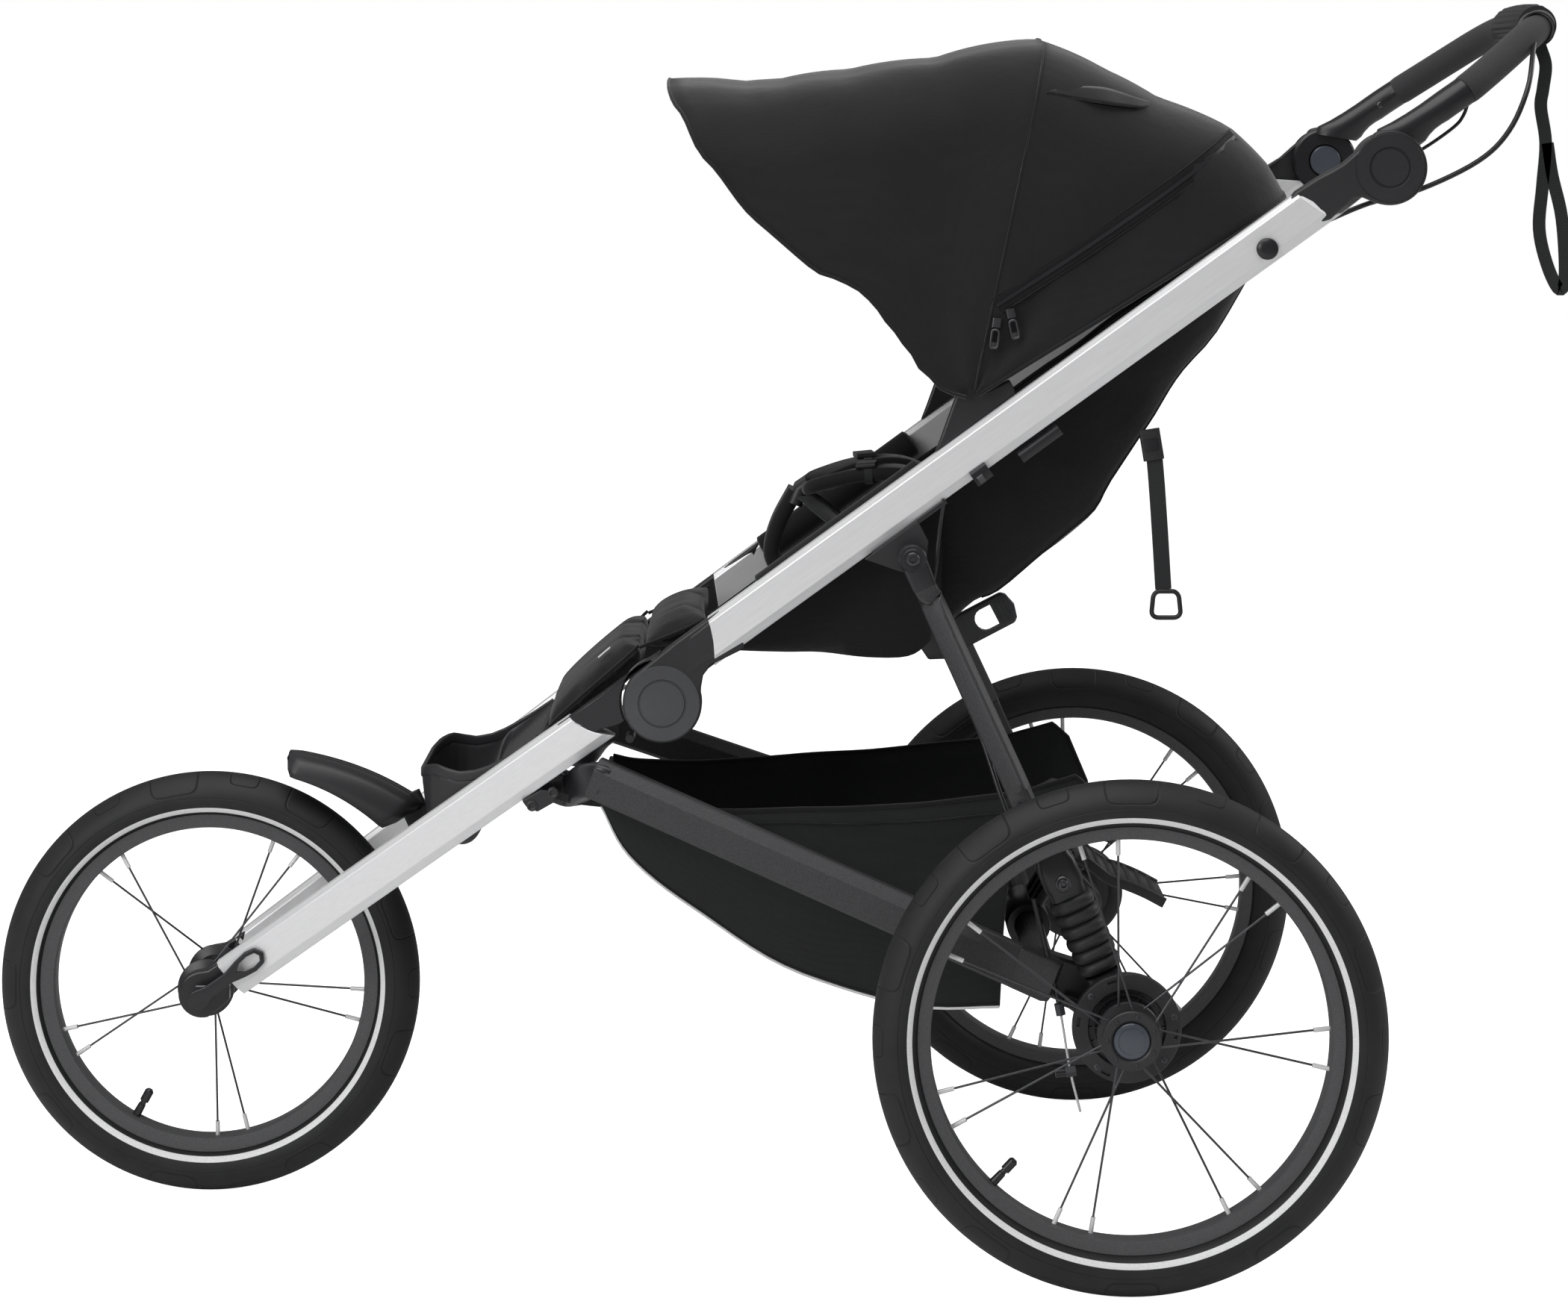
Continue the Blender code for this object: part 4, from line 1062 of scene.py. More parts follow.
def quick_release():
    """Lever with a window, and its cam on the axle."""
    root = FRONT_AXLE + Vector((0, -0.0745, 0))

    def at(s, n):
        spot = root + ALONG * s + OVER * n
        return spot.x, spot.z

    outer = [at(-0.0095 * math.cos(a), 0.0095 * math.sin(a))
             for a in [math.pi * (i / 8 - 0.5) for i in range(9)]]
    outer += [at(0.012, 0.0062), at(0.034, 0.0056), at(0.048, 0.0088), at(0.06, 0.0104), at(0.07, 0.0084),
              at(0.075, 0.0), at(0.07, -0.0084), at(0.06, -0.0104), at(0.048, -0.0088),
              at(0.034, -0.0056), at(0.012, -0.0062)]
    blade = plate("blade", outer, -0.08, -0.0745, SATIN, 0.0014)
    inside = [at(0.044, 0.0), at(0.05, 0.0046), at(0.06, 0.0062), at(0.068, 0.0046), at(0.0705, 0.0),
              at(0.068, -0.0046), at(0.06, -0.0062), at(0.05, -0.0046)]
    lever = cut(bake(blade), [plate("gap", inside, -0.09, -0.06, SATIN)])
    cam = turned("cam", [(0.0075, -0.0665), (0.0082, -0.0672), (0.0082, -0.0782), (0.007, -0.079)],
                 FRONT_AXLE, STEEL, 36, 30)
    put(merge("quick_release_look", [lever, cam]), "quick_release", "quick_release_lever",
        slot="grey_plastic")


def front_fender():
    """Short guard behind the front tyre, on a stem and a tie."""
    x, z = FRONT_AXLE.x, FRONT_AXLE.z
    loops = []
    for i in range(25):
        t = i / 24
        a = math.radians(71.0 - 31.5 * t)
        crown = 0.2325 + 0.033 * t ** 1.2
        skirt = 0.213 + 0.012 * t
        end = min(t, 1 - t)
        nip = 1 - max(0.0, 1 - end / 0.1) ** 2 * 0.75
        skirt += (crown - 0.004 - skirt) * max(0.0, 1 - end / 0.1) ** 2
        shoulder = crown - 0.0075
        loop = []
        for y, r in ((-0.0305, skirt), (-0.0285, (skirt + shoulder) / 2), (-0.0258, shoulder),
                     (-0.0205, crown - 0.0024), (-0.012, crown - 0.0004), (-0.007, crown),
                     (-0.0055, crown - 0.0012), (-0.004, crown - 0.0012), (-0.0025, crown), (0.0, crown),
                     (0.0025, crown), (0.004, crown - 0.0012), (0.0055, crown - 0.0012), (0.007, crown),
                     (0.012, crown - 0.0004), (0.0205, crown - 0.0024),
                     (0.0258, shoulder), (0.0285, (skirt + shoulder) / 2), (0.0305, skirt)):
            loop.append((x + r * math.cos(a), y * nip, z + r * math.sin(a)))
        loops.append(loop)
    fender = loft("fender", loops, BLACK, open_loop=True, smooth=50)
    thicken(fender, 0.0022, -1)
    stem = bar("stem", [(-0.66, 0, 0.377), (-0.644, 0, 0.342)], oblong(0.024, 0.01, 0.003), BLACK,
               (0, 1, 0))
    tie = bar("tie", [(-0.645, -0.085, 0.346), (-0.645, 0.085, 0.346)], oblong(0.02, 0.01, 0.003),
              BLACK)
    put(merge("front_fender_look", [fender, stem, tie]), "lower_frame", "front_fender",
        slot="black_plastic")


WELL_FLOOR = ((-0.6405, 0.409), (-0.6388, 0.395), (-0.635, 0.374), (-0.629, 0.359), (-0.62, 0.349),
              (-0.611, 0.3465), (-0.598, 0.3465), (-0.588, 0.354), (-0.58, 0.372), (-0.5745, 0.396),
              (-0.569, 0.411), (-0.56, 0.4185), (-0.526, 0.446))
WELL_RIM = ((-0.6405, 0.4112), (-0.634, 0.4165), (-0.625, 0.4196), (-0.614, 0.4165), (-0.602, 0.4142),
            (-0.5865, 0.4165), (-0.5733, 0.4214), (-0.5572, 0.4295), (-0.5426, 0.4383), (-0.526, 0.449))
WELL_CORNER = ((-0.6405, 0.052), (-0.6388, 0.062), (-0.635, 0.073), (-0.629, 0.083), (-0.62, 0.0905),
               (-0.611, 0.095))


def footwell():
    """A moulded bucket ahead of the seat: a deep rounded front and a sloping foot floor behind it."""
    stations = [Vector((x, 0, z)) for x, z in WELL_FLOOR]
    loops = []
    rim = {-1: [], 1: []}
    for point in curve_points(stations, 5):
        x = point.x
        half = along_table(WELL_CORNER, x) if x < -0.611 else 0.0905 + 0.2434 * (x + 0.632) - 0.0006
        tall = max(0.0, along_table(WELL_RIM, x) - point.z)
        loop = []
        for i in range(-24, 25):
            u = abs(i) / 24
            turn = max(0.0, (u - 0.62) / 0.38) * math.pi / 2
            y = half * (u / 0.62 * 0.8 if u < 0.62 else 0.8 + 0.2 * math.sin(turn))
            loop.append((x, math.copysign(y, i), point.z + tall * (1 - math.cos(turn))))
        loops.append(loop)
        for side in (-1, 1):
            rim[side].append(Vector((x, side * half, point.z + tall)))
    shell = loft("shell", loops, BLACK, open_loop=True, smooth=60)
    thicken(shell, 0.003)
    edge = rim[-1][::-2] + rim[1][::2]
    lip = bar("lip", [p - Vector((0, 0, 0.003)) for p in edge], oblong(0.0042, 0.01, 0.0018, 3), BLACK,
              smooth=50)
    parts = [shell, lip]
    for i in range(7):
        x = -0.559 + 0.0045 * i
        z = along_table(WELL_FLOOR, x) + 0.0018
        parts.append(bar("rib", [Vector((x, -0.06, z)), Vector((x, 0.06, z))],
                         oblong(0.0024, 0.0014, 0.0005, 1), SATIN))
    put(merge("footwell_look", parts), "lower_frame", "footwell", slot="black_plastic")


# --------------------------------------------------------------- soft goods
def puff(obj, cap, pressure, voxel):
    """Blows a closed pad up by cloth simulation. No point moves further than cap."""
    mesh_mod = obj.modifiers.new("voxels", "REMESH")
    mesh_mod.mode = "VOXEL"
    mesh_mod.voxel_size = voxel
    bake(obj)
    start = [v.co.copy() for v in obj.data.vertices]
    cloth = obj.modifiers.new("cloth", "CLOTH")
    cloth.settings.use_pressure = True
    cloth.settings.uniform_pressure_force = pressure
    cloth.settings.effector_weights.gravity = 0
    cloth.settings.quality = 4
    cloth.settings.mass = 0.2
    cloth.settings.tension_stiffness = 25
    cloth.settings.compression_stiffness = 8
    cloth.settings.bending_stiffness = 0.6
    scene = bpy.context.scene
    scene.frame_start = 1
    scene.frame_end = 20
    for number in range(1, 21):
        scene.frame_set(number)
    graph = bpy.context.evaluated_depsgraph_get()
    moved = [v.co.copy() for v in obj.evaluated_get(graph).data.vertices]
    obj.modifiers.clear()
    for vertex, a, b in zip(obj.data.vertices, start, moved):
        step = b - a
        if step.length > cap:
            step *= cap / step.length
        vertex.co = a + step
    scene.frame_set(1)
    smooth = obj.modifiers.new("smooth", "SMOOTH")
    smooth.factor = 0.5
    smooth.iterations = 3
    bake(obj)
    fine = obj.modifiers.new("fine", "SUBSURF")
    fine.levels = 1
    fine.render_levels = 1
    bake(obj)
    obj.data.shade_smooth()
    return obj


def side_line(side, points, steps):
    """A smooth line through points with y counted outwards on this side."""
    return curve_points([(x, side * y, z) for x, y, z in points], steps)


def strap(name, path, width, thick, material, up=(0, 0, 1)):
    """Flat webbing with thin edges."""
    shape = [(-width / 2, 0), (-width * 0.46, thick / 2), (width * 0.46, thick / 2), (width / 2, 0),
             (width * 0.46, -thick / 2), (-width * 0.46, -thick / 2)]
    return bar(name, path, shape, material, up)


HOOD_RADII = ((31.0, 0.351), (37.0, 0.354), (44.5, 0.35), (56.0, 0.329), (66.0, 0.328), (78.0, 0.335),
              (95.0, 0.3112), (110.0, 0.318), (121.1, 0.338), (126.1, 0.3555), (128.9, 0.373),
              (133.5, 0.4), (136.0, 0.4145), (142.0, 0.435))


def hood_radius(angle):
    """Height of the hood above its pivot line, at an angle about the pivot."""
    return along_table(HOOD_RADII, angle)


def hood_line(radius):
    """Half of one arch as (y, distance from the pivot), from the pivot up the side to the crown."""
    corner = 0.085
    lean = 0.02
    start = [(HOOD_HALF - 0.001, 0.006), (HOOD_HALF - 0.002, 0.2 * radius),
             (HOOD_HALF - 0.003, 0.45 * radius), (HOOD_HALF - 0.007, 0.62 * radius)]
    bend = []
    for i in range(7):
        t = math.radians(15.0 * i)
        bend.append((HOOD_HALF - lean - corner * (1 - math.cos(t)) + 0.01,
                     radius - corner + corner * math.sin(t) - 0.006))
    line = [Vector((y, r, 0)) for y, r in start + bend + [(0.05, radius - 0.002), (0.0, radius)]]
    fine = curve_points(line, 8)
    lengths = [0.0]
    for a, b in zip(fine, fine[1:]):
        lengths.append(lengths[-1] + (b - a).length)
    out = []
    j = 0
    for i in range(HOOD_STEPS):
        want = lengths[-1] * i / (HOOD_STEPS - 1)
        while j < len(lengths) - 2 and lengths[j + 1] < want:
            j += 1
        t = (want - lengths[j]) / (lengths[j + 1] - lengths[j])
        p = fine[j].lerp(fine[j + 1], t)
        out.append((p.x, p.y))
    return out


def hood_front(distance):
    """The front edge's angle at a distance from the pivot: the sides are cut back in a soft wave."""
    table = ((0.0, 175.0), (0.02, 168.0), (0.048, 152.0), (0.075, 142.0), (0.099, 138.6), (0.125, 136.2),
             (0.145, 136.4), (0.164, 138.9), (0.1835, 141.0), (0.2517, 140.6), (0.3235, 138.2),
             (0.3757, 135.6), (0.42, 133.2))
    for (r0, a0), (r1, a1) in zip(table, table[1:]):
        if distance <= r1:
            t = (distance - r0) / (r1 - r0)
            t = t * t * (3 - 2 * t)
            return a0 + (a1 - a0) * t
    return table[-1][1]


# Angles about the hood's pivot, in degrees: rear edge, middle bow, and the crown's reach to the front.
REAR_EDGE = 31.6
SEAM = 77.8
HOOD_REACH = 134.0


def hood_surface(u, half_index, side, lift=0.0):
    """A point of the hood. u runs 0 at the rear edge, 1 at the middle bow, 2 at the front edge."""
    cx, cz = HOOD
    if u <= 1:
        angle = REAR_EDGE + (SEAM - REAR_EDGE) * u
        y, r = hood_lines(hood_radius(angle))[half_index]
    else:
        front = hood_front(hood_lines(hood_radius(HOOD_REACH))[half_index][1])
        angle = SEAM + (front - SEAM) * (u - 1)
        reach = SEAM + (HOOD_REACH - SEAM) * (u - 1)
        y, r = hood_lines(hood_radius(reach))[half_index]
    t = half_index / (HOOD_STEPS - 1)
    fold = math.sin(math.pi * min(1.0, u if u < 1 else (u - 1)))
    ripple = math.sin(9.0 * t + 6.0 * u) * 0.0024 + math.sin(19.0 * t - 11.0 * u + 1.0) * 0.0011
    side_share = max(0.0, 1 - abs(t - 0.35) / 0.35)
    y = y - 0.0045 * fold * side_share + ripple * fold
    r = r + ripple * fold * (0.15 if t > 0.7 else 0.0)
    a = math.radians(angle)
    return Vector((cx + (r + lift) * math.cos(a), side * (y + lift * (1 - t)),
                   cz + (r + lift) * math.sin(a)))


LINES = {}


def hood_lines(radius):
    """hood_line, kept for each height."""
    key = round(radius, 4)
    if key not in LINES:
        LINES[key] = hood_line(radius)
    return LINES[key]


def hood_side_point(x, z, side, lift=0.0012):
    """The point of the hood's side panel at this side-view place."""
    dx, dz = x - HOOD[0], z - HOOD[1]
    distance = math.hypot(dx, dz)
    angle = math.degrees(math.atan2(dz, dx))
    line = hood_lines(hood_radius(angle))
    u = (angle - REAR_EDGE) / (SEAM - REAR_EDGE) if angle <= SEAM else 1 + (angle - SEAM) / 60.0
    best = min(range(len(line)), key=lambda i: abs(line[i][1] - distance) if line[i][0] > 0.09 else 9.0)
    p = hood_surface(u, best, side)
    return Vector((x, p.y + side * lift, z))


def hood_arch(u, lift=0.0):
    """A whole arch of the hood, from its left foot over the crown to its right foot."""
    left = [hood_surface(u, i, -1, lift) for i in range(HOOD_STEPS)]
    right = [hood_surface(u, i, 1, lift) for i in range(HOOD_STEPS - 1)]
    return left + right[::-1]


def hood_zip(side):
    """Tape, coil and stitched edges of the zip on one side panel, with two sliders and their pulls."""
    parts = []
    zip_line = [hood_side_point(x, z, side)
                for x, z in [(-0.1086 + 0.2227 * i / 14, 0.8536 + 0.1525 * i / 14 - 0.004
                              * math.sin(math.pi * i / 14)) for i in range(15)]]
    parts.append(strap("zip_tape", zip_line, 0.0135, 0.001, WEBBING_DARK, up=(0, side, 0)))
    parts.append(strap("zip_coil", [p + Vector((0, side * 0.0007, 0)) for p in zip_line], 0.0036,
                       0.0014, SATIN, up=(0, side, 0)))
    for shift in (0.0078, -0.0078):
        offset = Vector((-0.565, 0, 0.825)) * shift
        parts.append(tube("zip_edge", [p + offset for p in zip_line], 0.0007, HOOD_CLOTH, 6))
    for x, z, turn in ((-0.1086, 0.8385, -97), (-0.0958, 0.847, -78)):
        slider = hood_side_point(x, z, side, 0.003)
        t = math.radians(turn)
        down = Vector((math.cos(t), 0, math.sin(t)))
        parts.append(bar("slider", [slider - down * 0.004, slider + down * 0.0045],
                         oblong(0.0085, 0.004, 0.0016, 3), STEEL, (0, side, 0)))
        ring_at = slider + down * 0.015 + Vector((0, side * 0.0014, 0))
        across = Vector((-down.z, 0, down.x))
        shape = [ring_at + across * a + down * b for a, b in oblong(0.0066, 0.0165, 0.0026, 4)]
        loop = carried(shape + shape[:2], circle(0.00125, 8), (0, side, 0))
        parts.append(loft("pull", loop[:-1], STEEL, caps=False, smooth=60))
        parts.append(bar("tab", [ring_at + down * 0.003, ring_at + down * 0.0092],
                         oblong(0.0062, 0.0018, 0.0006, 2), STEEL, (0, side, 0)))
    return parts


def hood_flap(side):
    """Seam and raised flap above the zip."""
    flap = [(-0.0621, 1.0473), (-0.036, 1.04), (-0.0101, 1.0345), (0.008, 1.0322), (0.025, 1.0318),
            (0.0446, 1.036)]
    flap_line = curve_points([hood_side_point(x, z, side, 0.0008) for x, z in flap], 4)
    parts = [tube("flap_seam", flap_line, 0.0008, HOOD_CLOTH, 6)]
    upper = curve_points([hood_side_point(x, z + 0.017 * math.sin(math.pi * (x + 0.0621) / 0.1067),
                                          side, 0.0006) for x, z in flap], 4)
    rows = []
    for i, (low, high) in enumerate(zip(flap_line, upper)):
        swell = 0.005 * math.sin(math.pi * i / (len(flap_line) - 1))
        rows.append([low.lerp(high, k / 5) + Vector((0, side, 0.5)) * swell * (1 - k / 5) ** 0.7
                     for k in range(6)])
    flap_sheet = loft("flap", rows, HOOD_CLOTH, open_loop=True, smooth=60)
    thicken(flap_sheet, 0.0012)
    parts.append(flap_sheet)
    return parts


def canopy():
    """One continuous curved sheet over three bows, with bindings, seams, a zip and a flap."""
    steps = [i / 26 for i in range(27)] + [1 + (i + 1) / 34 for i in range(34)]
    loops = [hood_arch(u) for u in steps]
    sheet = loft("sheet", loops, HOOD_CLOTH, open_loop=True, smooth=180)
    thicken(sheet, 0.0016)
    parts = [sheet]
    parts.append(tube("hem", loops[-1], 0.0018, HOOD_CLOTH, 8))
    parts.append(tube("rear_hem", loops[0], 0.0022, HOOD_CLOTH, 8))
    parts.append(tube("bow_seam", hood_arch(1.0, 0.001), 0.0011, HOOD_CLOTH, 6))
    for side, _ in SIDES:
        parts += hood_zip(side) + hood_flap(side)
    whole = merge("canopy_sheet_look", parts)
    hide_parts("canopy_front", "canopy_rear")
    rear_mark = world(hood_surface(0.45, HOOD_STEPS - 1, 1))
    front_mark = world(hood_surface(1.9, HOOD_STEPS - 1, 1))
    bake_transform(whole)
    keep("canopy_bow_front", SATIN)
    keep("canopy_bow_middle", SATIN)


def canopy_clips():
    for side, label in SIDES:
        px, pz = HOOD
        outline = [(px - 0.034, rail_z(px - 0.034) + 0.0245), (px + 0.04, rail_z(px + 0.04) + 0.0245),
                   (px + 0.034, pz + 0.016), (px + 0.014, pz + 0.006), (px, pz + 0.01),
                   (px - 0.014, pz + 0.004), (px - 0.028, rail_z(px - 0.034) + 0.04)]
        body = plate("clip", outline, side * 0.166, side * 0.175, BLACK, 0.0022)
        put(merge(f"canopy_clip_{label}_look", [body]), "upper_frame", f"canopy_clip_{label}",
            slot="black_plastic")


def leg_pad(name, line, thickness):
    """One crowned pad across the seat, with rounded ends and a shallow channel at each side."""
    path = curve_points([Vector((x, 0, z)) for x, z in line], 6)
    thick = curve_points([Vector((t, 0, 0)) for t in thickness], 6)
    loops = []
    for i, point in enumerate(path):
        ahead = (path[min(i + 1, len(path) - 1)] - path[max(i - 1, 0)]).normalized()
        over = Vector((-ahead.z, 0, ahead.x))
        t = thick[i].x
        loop = []
        for k in range(33):
            v = -1 + k / 16
            channel = 0.0025 * math.exp(-((abs(v) - 0.42) / 0.03) ** 2)
            loop.append(point + over * (-0.5 * t * abs(v) ** 5 - channel) + Vector((0, 0.117 * v, 0)))
        for k in range(33):
            v = 1 - k / 16
            loop.append(point - over * (t * (1 - 0.45 * abs(v) ** 5)) + Vector((0, 0.1165 * v, 0)))
        loops.append(loop)
    pad = puff(loft(name, loops, CLOTH, smooth=180), 0.005, 2.5, 0.005)
    parts = [pad]
    for side, _ in SIDES:
        seam = [Vector((p.x, side * 0.1165, p.z - thick[i].x * 0.45)) for i, p in enumerate(path)]
        parts.append(tube("binding", seam, 0.0016, CLOTH, 8))
    return parts


def leg_rest():
    """Two crowned pads between the rails, and a small pale tag."""
    lower = ((-0.5255, 0.4535), (-0.5135, 0.475), (-0.4877, 0.5015), (-0.4509, 0.532), (-0.435, 0.5405))
    upper = ((-0.4345, 0.5385), (-0.421, 0.5495), (-0.396, 0.56), (-0.374, 0.565))
    parts = leg_pad("lower_pad", lower, (0.01, 0.021, 0.027, 0.024, 0.01))
    parts += leg_pad("upper_pad", upper, (0.01, 0.022, 0.023, 0.01))
    tag = [Vector((x - 0.0035, -0.092, z + 0.0045)) for x, z in ((-0.47, 0.5168), (-0.459, 0.5262))]
    parts.append(bar("tag", tag, oblong(0.006, 0.0012, 0.0004, 1), PIPING, up=(-0.65, 0, 0.76)))
    whole = merge("leg_rest_look", parts)
    put(whole, "lower_frame", "leg_rest", slot="black_fabric")
    fold_flat(whole)


def seat_pan():
    """Tub hung between the rails, with a crowned pad on top."""
    under = [(-0.3835, 0.54), (-0.364, 0.534), (-0.3412, 0.532), (-0.3, 0.531), (-0.2668, 0.531),
             (-0.2251, 0.5265), (-0.1869, 0.5275), (-0.168, 0.54), (-0.156, 0.556)]
    path = curve_points([Vector((x, 0, z)) for x, z in under], 4)
    loops = []
    for point in path:
        x = point.x
        top = rail_z(x) - 0.012
        t = (x + 0.3835) / 0.2275
        pad = 0.0385 - 0.006 * abs(2 * t - 1) ** 3
        wide = 0.137 + 0.01 * t
        loop = []
        for k in range(25):
            v = -1 + k / 12
            y = wide * v
            rise = max(0.0, abs(v) - 0.86) / 0.14
            loop.append(Vector((x, y, point.z - 0.003 * (1 - v * v) + (top - point.z) * rise ** 1.6)))
        for k in range(25):
            v = 1 - k / 12
            y = (wide - 0.006) * v
            rise = max(0.0, abs(v) - 0.86) / 0.14
            crown = 0.008 * (1 - v * v) - 0.004 * math.exp(-(v / 0.05) ** 2)
            channel = 0.003 * math.exp(-((abs(v) - 0.55) / 0.035) ** 2)
            height = min(top - point.z - 0.002, pad + crown - channel)
            loop.append(Vector((x, y, point.z + height + (top - 0.003 - point.z - height) * rise ** 1.6)))
        loops.append(loop)
    tub = loft("tub", loops, CLOTH, smooth=60)
    parts = [tub]
    for side, _ in SIDES:
        hem = [Vector((p.x, side * (0.136 + 0.01 * (p.x + 0.3835) / 0.2275), rail_z(p.x) - 0.013))
               for p in path]
        parts.append(tube("hem", hem, 0.0022, CLOTH, 8))
    whole = merge("seat_pan_look", parts)
    put(whole, "upper_frame", "seat_pan", slot="black_fabric")
    fold_flat(whole)


def seat_back_line():
    """Rear surface of the back in side view, from the seat up to the hood."""
    line = [(-0.152, 0.556), (-0.128, 0.58), (-0.1062, 0.59), (-0.0722, 0.6205), (-0.0422, 0.645),
            (-0.0177, 0.6665), (-0.0027, 0.6935), (0.0327, 0.743), (0.049, 0.7668), (0.0674, 0.7913),
            (0.0981, 0.827), (0.13, 0.881), (0.148, 0.918)]
    return curve_points([Vector((x, 0, z)) for x, z in line], 3)


def seat_back():
    """Tub of cloth hung behind the rails, with a channelled pad in it."""
    path = seat_back_line()
    loops = []
    count = len(path)
    for i, rear in enumerate(path):
        t = i / (count - 1)
        depth = (Vector((RAIL_AT[0], 0, RAIL_AT[1])) - rear).dot(OVER)
        edge = depth - 0.01
        half = 0.14 + 0.016 * t
        loop = []
        for k in range(37):
            v = -1 + k / 18
            rise = max(0.0, abs(v) - 0.8) / 0.2
            belly = 0.016 * (1 - v * v) * math.sin(math.pi * min(1.0, 0.15 + t))
            lift = edge * rise ** 1.5 - belly
            y = half * v * (1 - 0.05 * (1 - rise) * (abs(v) > 0.5))
            loop.append(rear + OVER * lift + Vector((0, y, 0)))
        loop = [p + OVER * 0.0035 * noise.noise(Vector((p.x * 9 + p.z * 9, p.y * 16, p.z * 22 - p.x * 22)))
                + Vector((0, 0.004 * noise.noise(Vector((p.z * 14, p.x * 34, 3.1))), 0)) for p in loop]
        front = []
        for k in range(37):
            v = 1 - k / 18
            rise = max(0.0, abs(v) - 0.8) / 0.2
            pad = min(edge - 0.004, 0.024)
            crown = 0.006 * (1 - v * v) - 0.0045 * math.exp(-((abs(v) - 0.45) / 0.035) ** 2)
            crown -= 0.0035 * math.exp(-((t * 5 - round(t * 5)) / 0.09) ** 2)
            lift = pad + crown + (edge - 0.003 - pad - crown) * rise ** 1.5
            front.append(rear + OVER * lift + Vector((0, (half - 0.007) * v, 0)))
        loops.append(loop + front)
    tub = loft("tub", loops, CLOTH, smooth=70)
    parts = [tub]
    for side, _ in SIDES:
        index = 0 if side < 0 else 36
        hem = [loops[i][index] + OVER * 0.001 for i in range(count)]
        parts.append(tube("hem", hem, 0.0024, CLOTH, 8))
        seam = [loops[i][4 if side < 0 else 32] for i in range(4, count - 2)]
        parts.append(tube("seam", [p + Vector((0, side * 0.0006, 0)) for p in seam], 0.001, CLOTH, 6))
    whole = merge("seat_back_look", parts)
    put(whole, "seat_recline", "seat_back", slot="black_fabric")
    fold_flat(whole)


def shoulder_pad(side):
    """Padded strap from the back down to the buckle."""
    line = side_line(side, [(-0.275, 0.02, 0.67), (-0.256, 0.032, 0.679), (-0.221, 0.046, 0.688),
                    (-0.185, 0.052, 0.688), (-0.15, 0.054, 0.672)], 5)
    sizes = [0.72, 0.85, 0.95] + [1.0] * (len(line) - 6) + [0.97, 0.9, 0.8]
    return bar("shoulder_pad", line, oblong(0.043, 0.013, 0.0058, 5), CLOTH, sizes=sizes, smooth=60)


def bolster(side, label):
    """Soft roll along the rail at the edge of the seat."""
    xs = (-0.322, -0.316, -0.29, -0.26, -0.23, -0.2, -0.178, -0.172)
    line = curve_points([(x, side * 0.15, rail_z(x) + 0.012) for x in xs], 3)
    count = len(line) - 1
    sizes = [0.35 + 0.65 * min(1.0, 12 * min(i, count - i) / count) ** 0.6 for i in range(count + 1)]
    roll = loft(f"seat_bolster_{label}", carried(line, circle(0.014, 20), sizes=sizes), CLOTH, smooth=180)
    put(roll, "upper_frame")


def harness():
    parts = []
    crotch = curve_points([(-0.308, 0, 0.596), (-0.313, 0, 0.612), (-0.306, 0, 0.638),
                           (-0.29, 0, 0.668)], 5)
    parts.append(bar("crotch_pad", crotch, oblong(0.046, 0.015, 0.0068, 5), CLOTH, (-1, 0, 0.3), smooth=60))
    buckle = [Vector((-0.2905, 0, 0.656)), Vector((-0.285, 0, 0.669)), Vector((-0.277, 0, 0.674))]
    parts.append(bar("buckle", buckle, oblong(0.052, 0.014, 0.0055, 5), BLACK, (-1, 0, 0.5)))
    for side, _ in SIDES:
        parts.append(shoulder_pad(side))
        web = side_line(side, [(-0.156, 0.054, 0.68), (-0.135, 0.056, 0.686),
                       (-0.118, 0.057, 0.678)], 4)
        parts.append(strap("shoulder_web", web, 0.024, 0.0016, WEBBING))
        hip = side_line(side, [(-0.28, 0.024, 0.664), (-0.25, 0.05, 0.64), (-0.215, 0.058, 0.615),
                       (-0.18, 0.059, 0.602)], 5)
        parts.append(strap("hip_web", hip, 0.024, 0.0016, WEBBING))
        clip = [Vector((-0.232, side * 0.049, 0.696)), Vector((-0.214, side * 0.051, 0.6975))]
        parts.append(bar("slider", clip, oblong(0.034, 0.005, 0.0018, 3), BLACK))
    for side, _ in SIDES:
        band = [Vector((-0.224, side * 0.046, 0.687)), Vector((-0.2165, side * 0.0465, 0.6875))]
        parts.append(bar("band", band, oblong(0.046, 0.0155, 0.0065, 4), WEBBING))
    whole = merge("harness_look", parts)
    put(whole, "seat_recline", "harness", slot="charcoal_fabric")
    fold_flat(whole)


def recline_strap():
    """Webbing, buckle and pull ring that hold the back."""
    path = curve_points([(0.0352, -0.154, 0.734), (0.0385, -0.156, 0.7), (0.042, -0.156, 0.65),
                    (0.0455, -0.155, 0.593)], 5)
    belt = strap("belt", path, 0.015, 0.0014, WEBBING, up=(0, 1, 0))
    buckle = bar("buckle", [Vector((0.0325, -0.154, 0.739)), Vector((0.037, -0.155, 0.711))],
                 oblong(0.019, 0.006, 0.002, 3), BLACK, (0, 1, 0))
    teeth = bar("teeth", [Vector((0.0335, -0.1575, 0.73)), Vector((0.035, -0.158, 0.72))],
                oblong(0.013, 0.002, 0.0008, 2), SATIN, (0, 1, 0))
    corners = [(0.048 + a * (1 + 8.0 * b), -0.155, 0.579 - b) for a, b in oblong(0.025, 0.024, 0.006,
                                                                                    5)]
    around = [Vector(p) for p in corners]
    ring = loft("ring", carried(around + around[:2], circle(0.0022, 8), (0, 1, 0))[:-2], SATIN, ring=True,
                smooth=60)
    whole = merge("recline_strap_look", [belt, buckle, teeth, ring])
    put(whole, "seat_recline", "recline_strap", slot="charcoal_fabric")


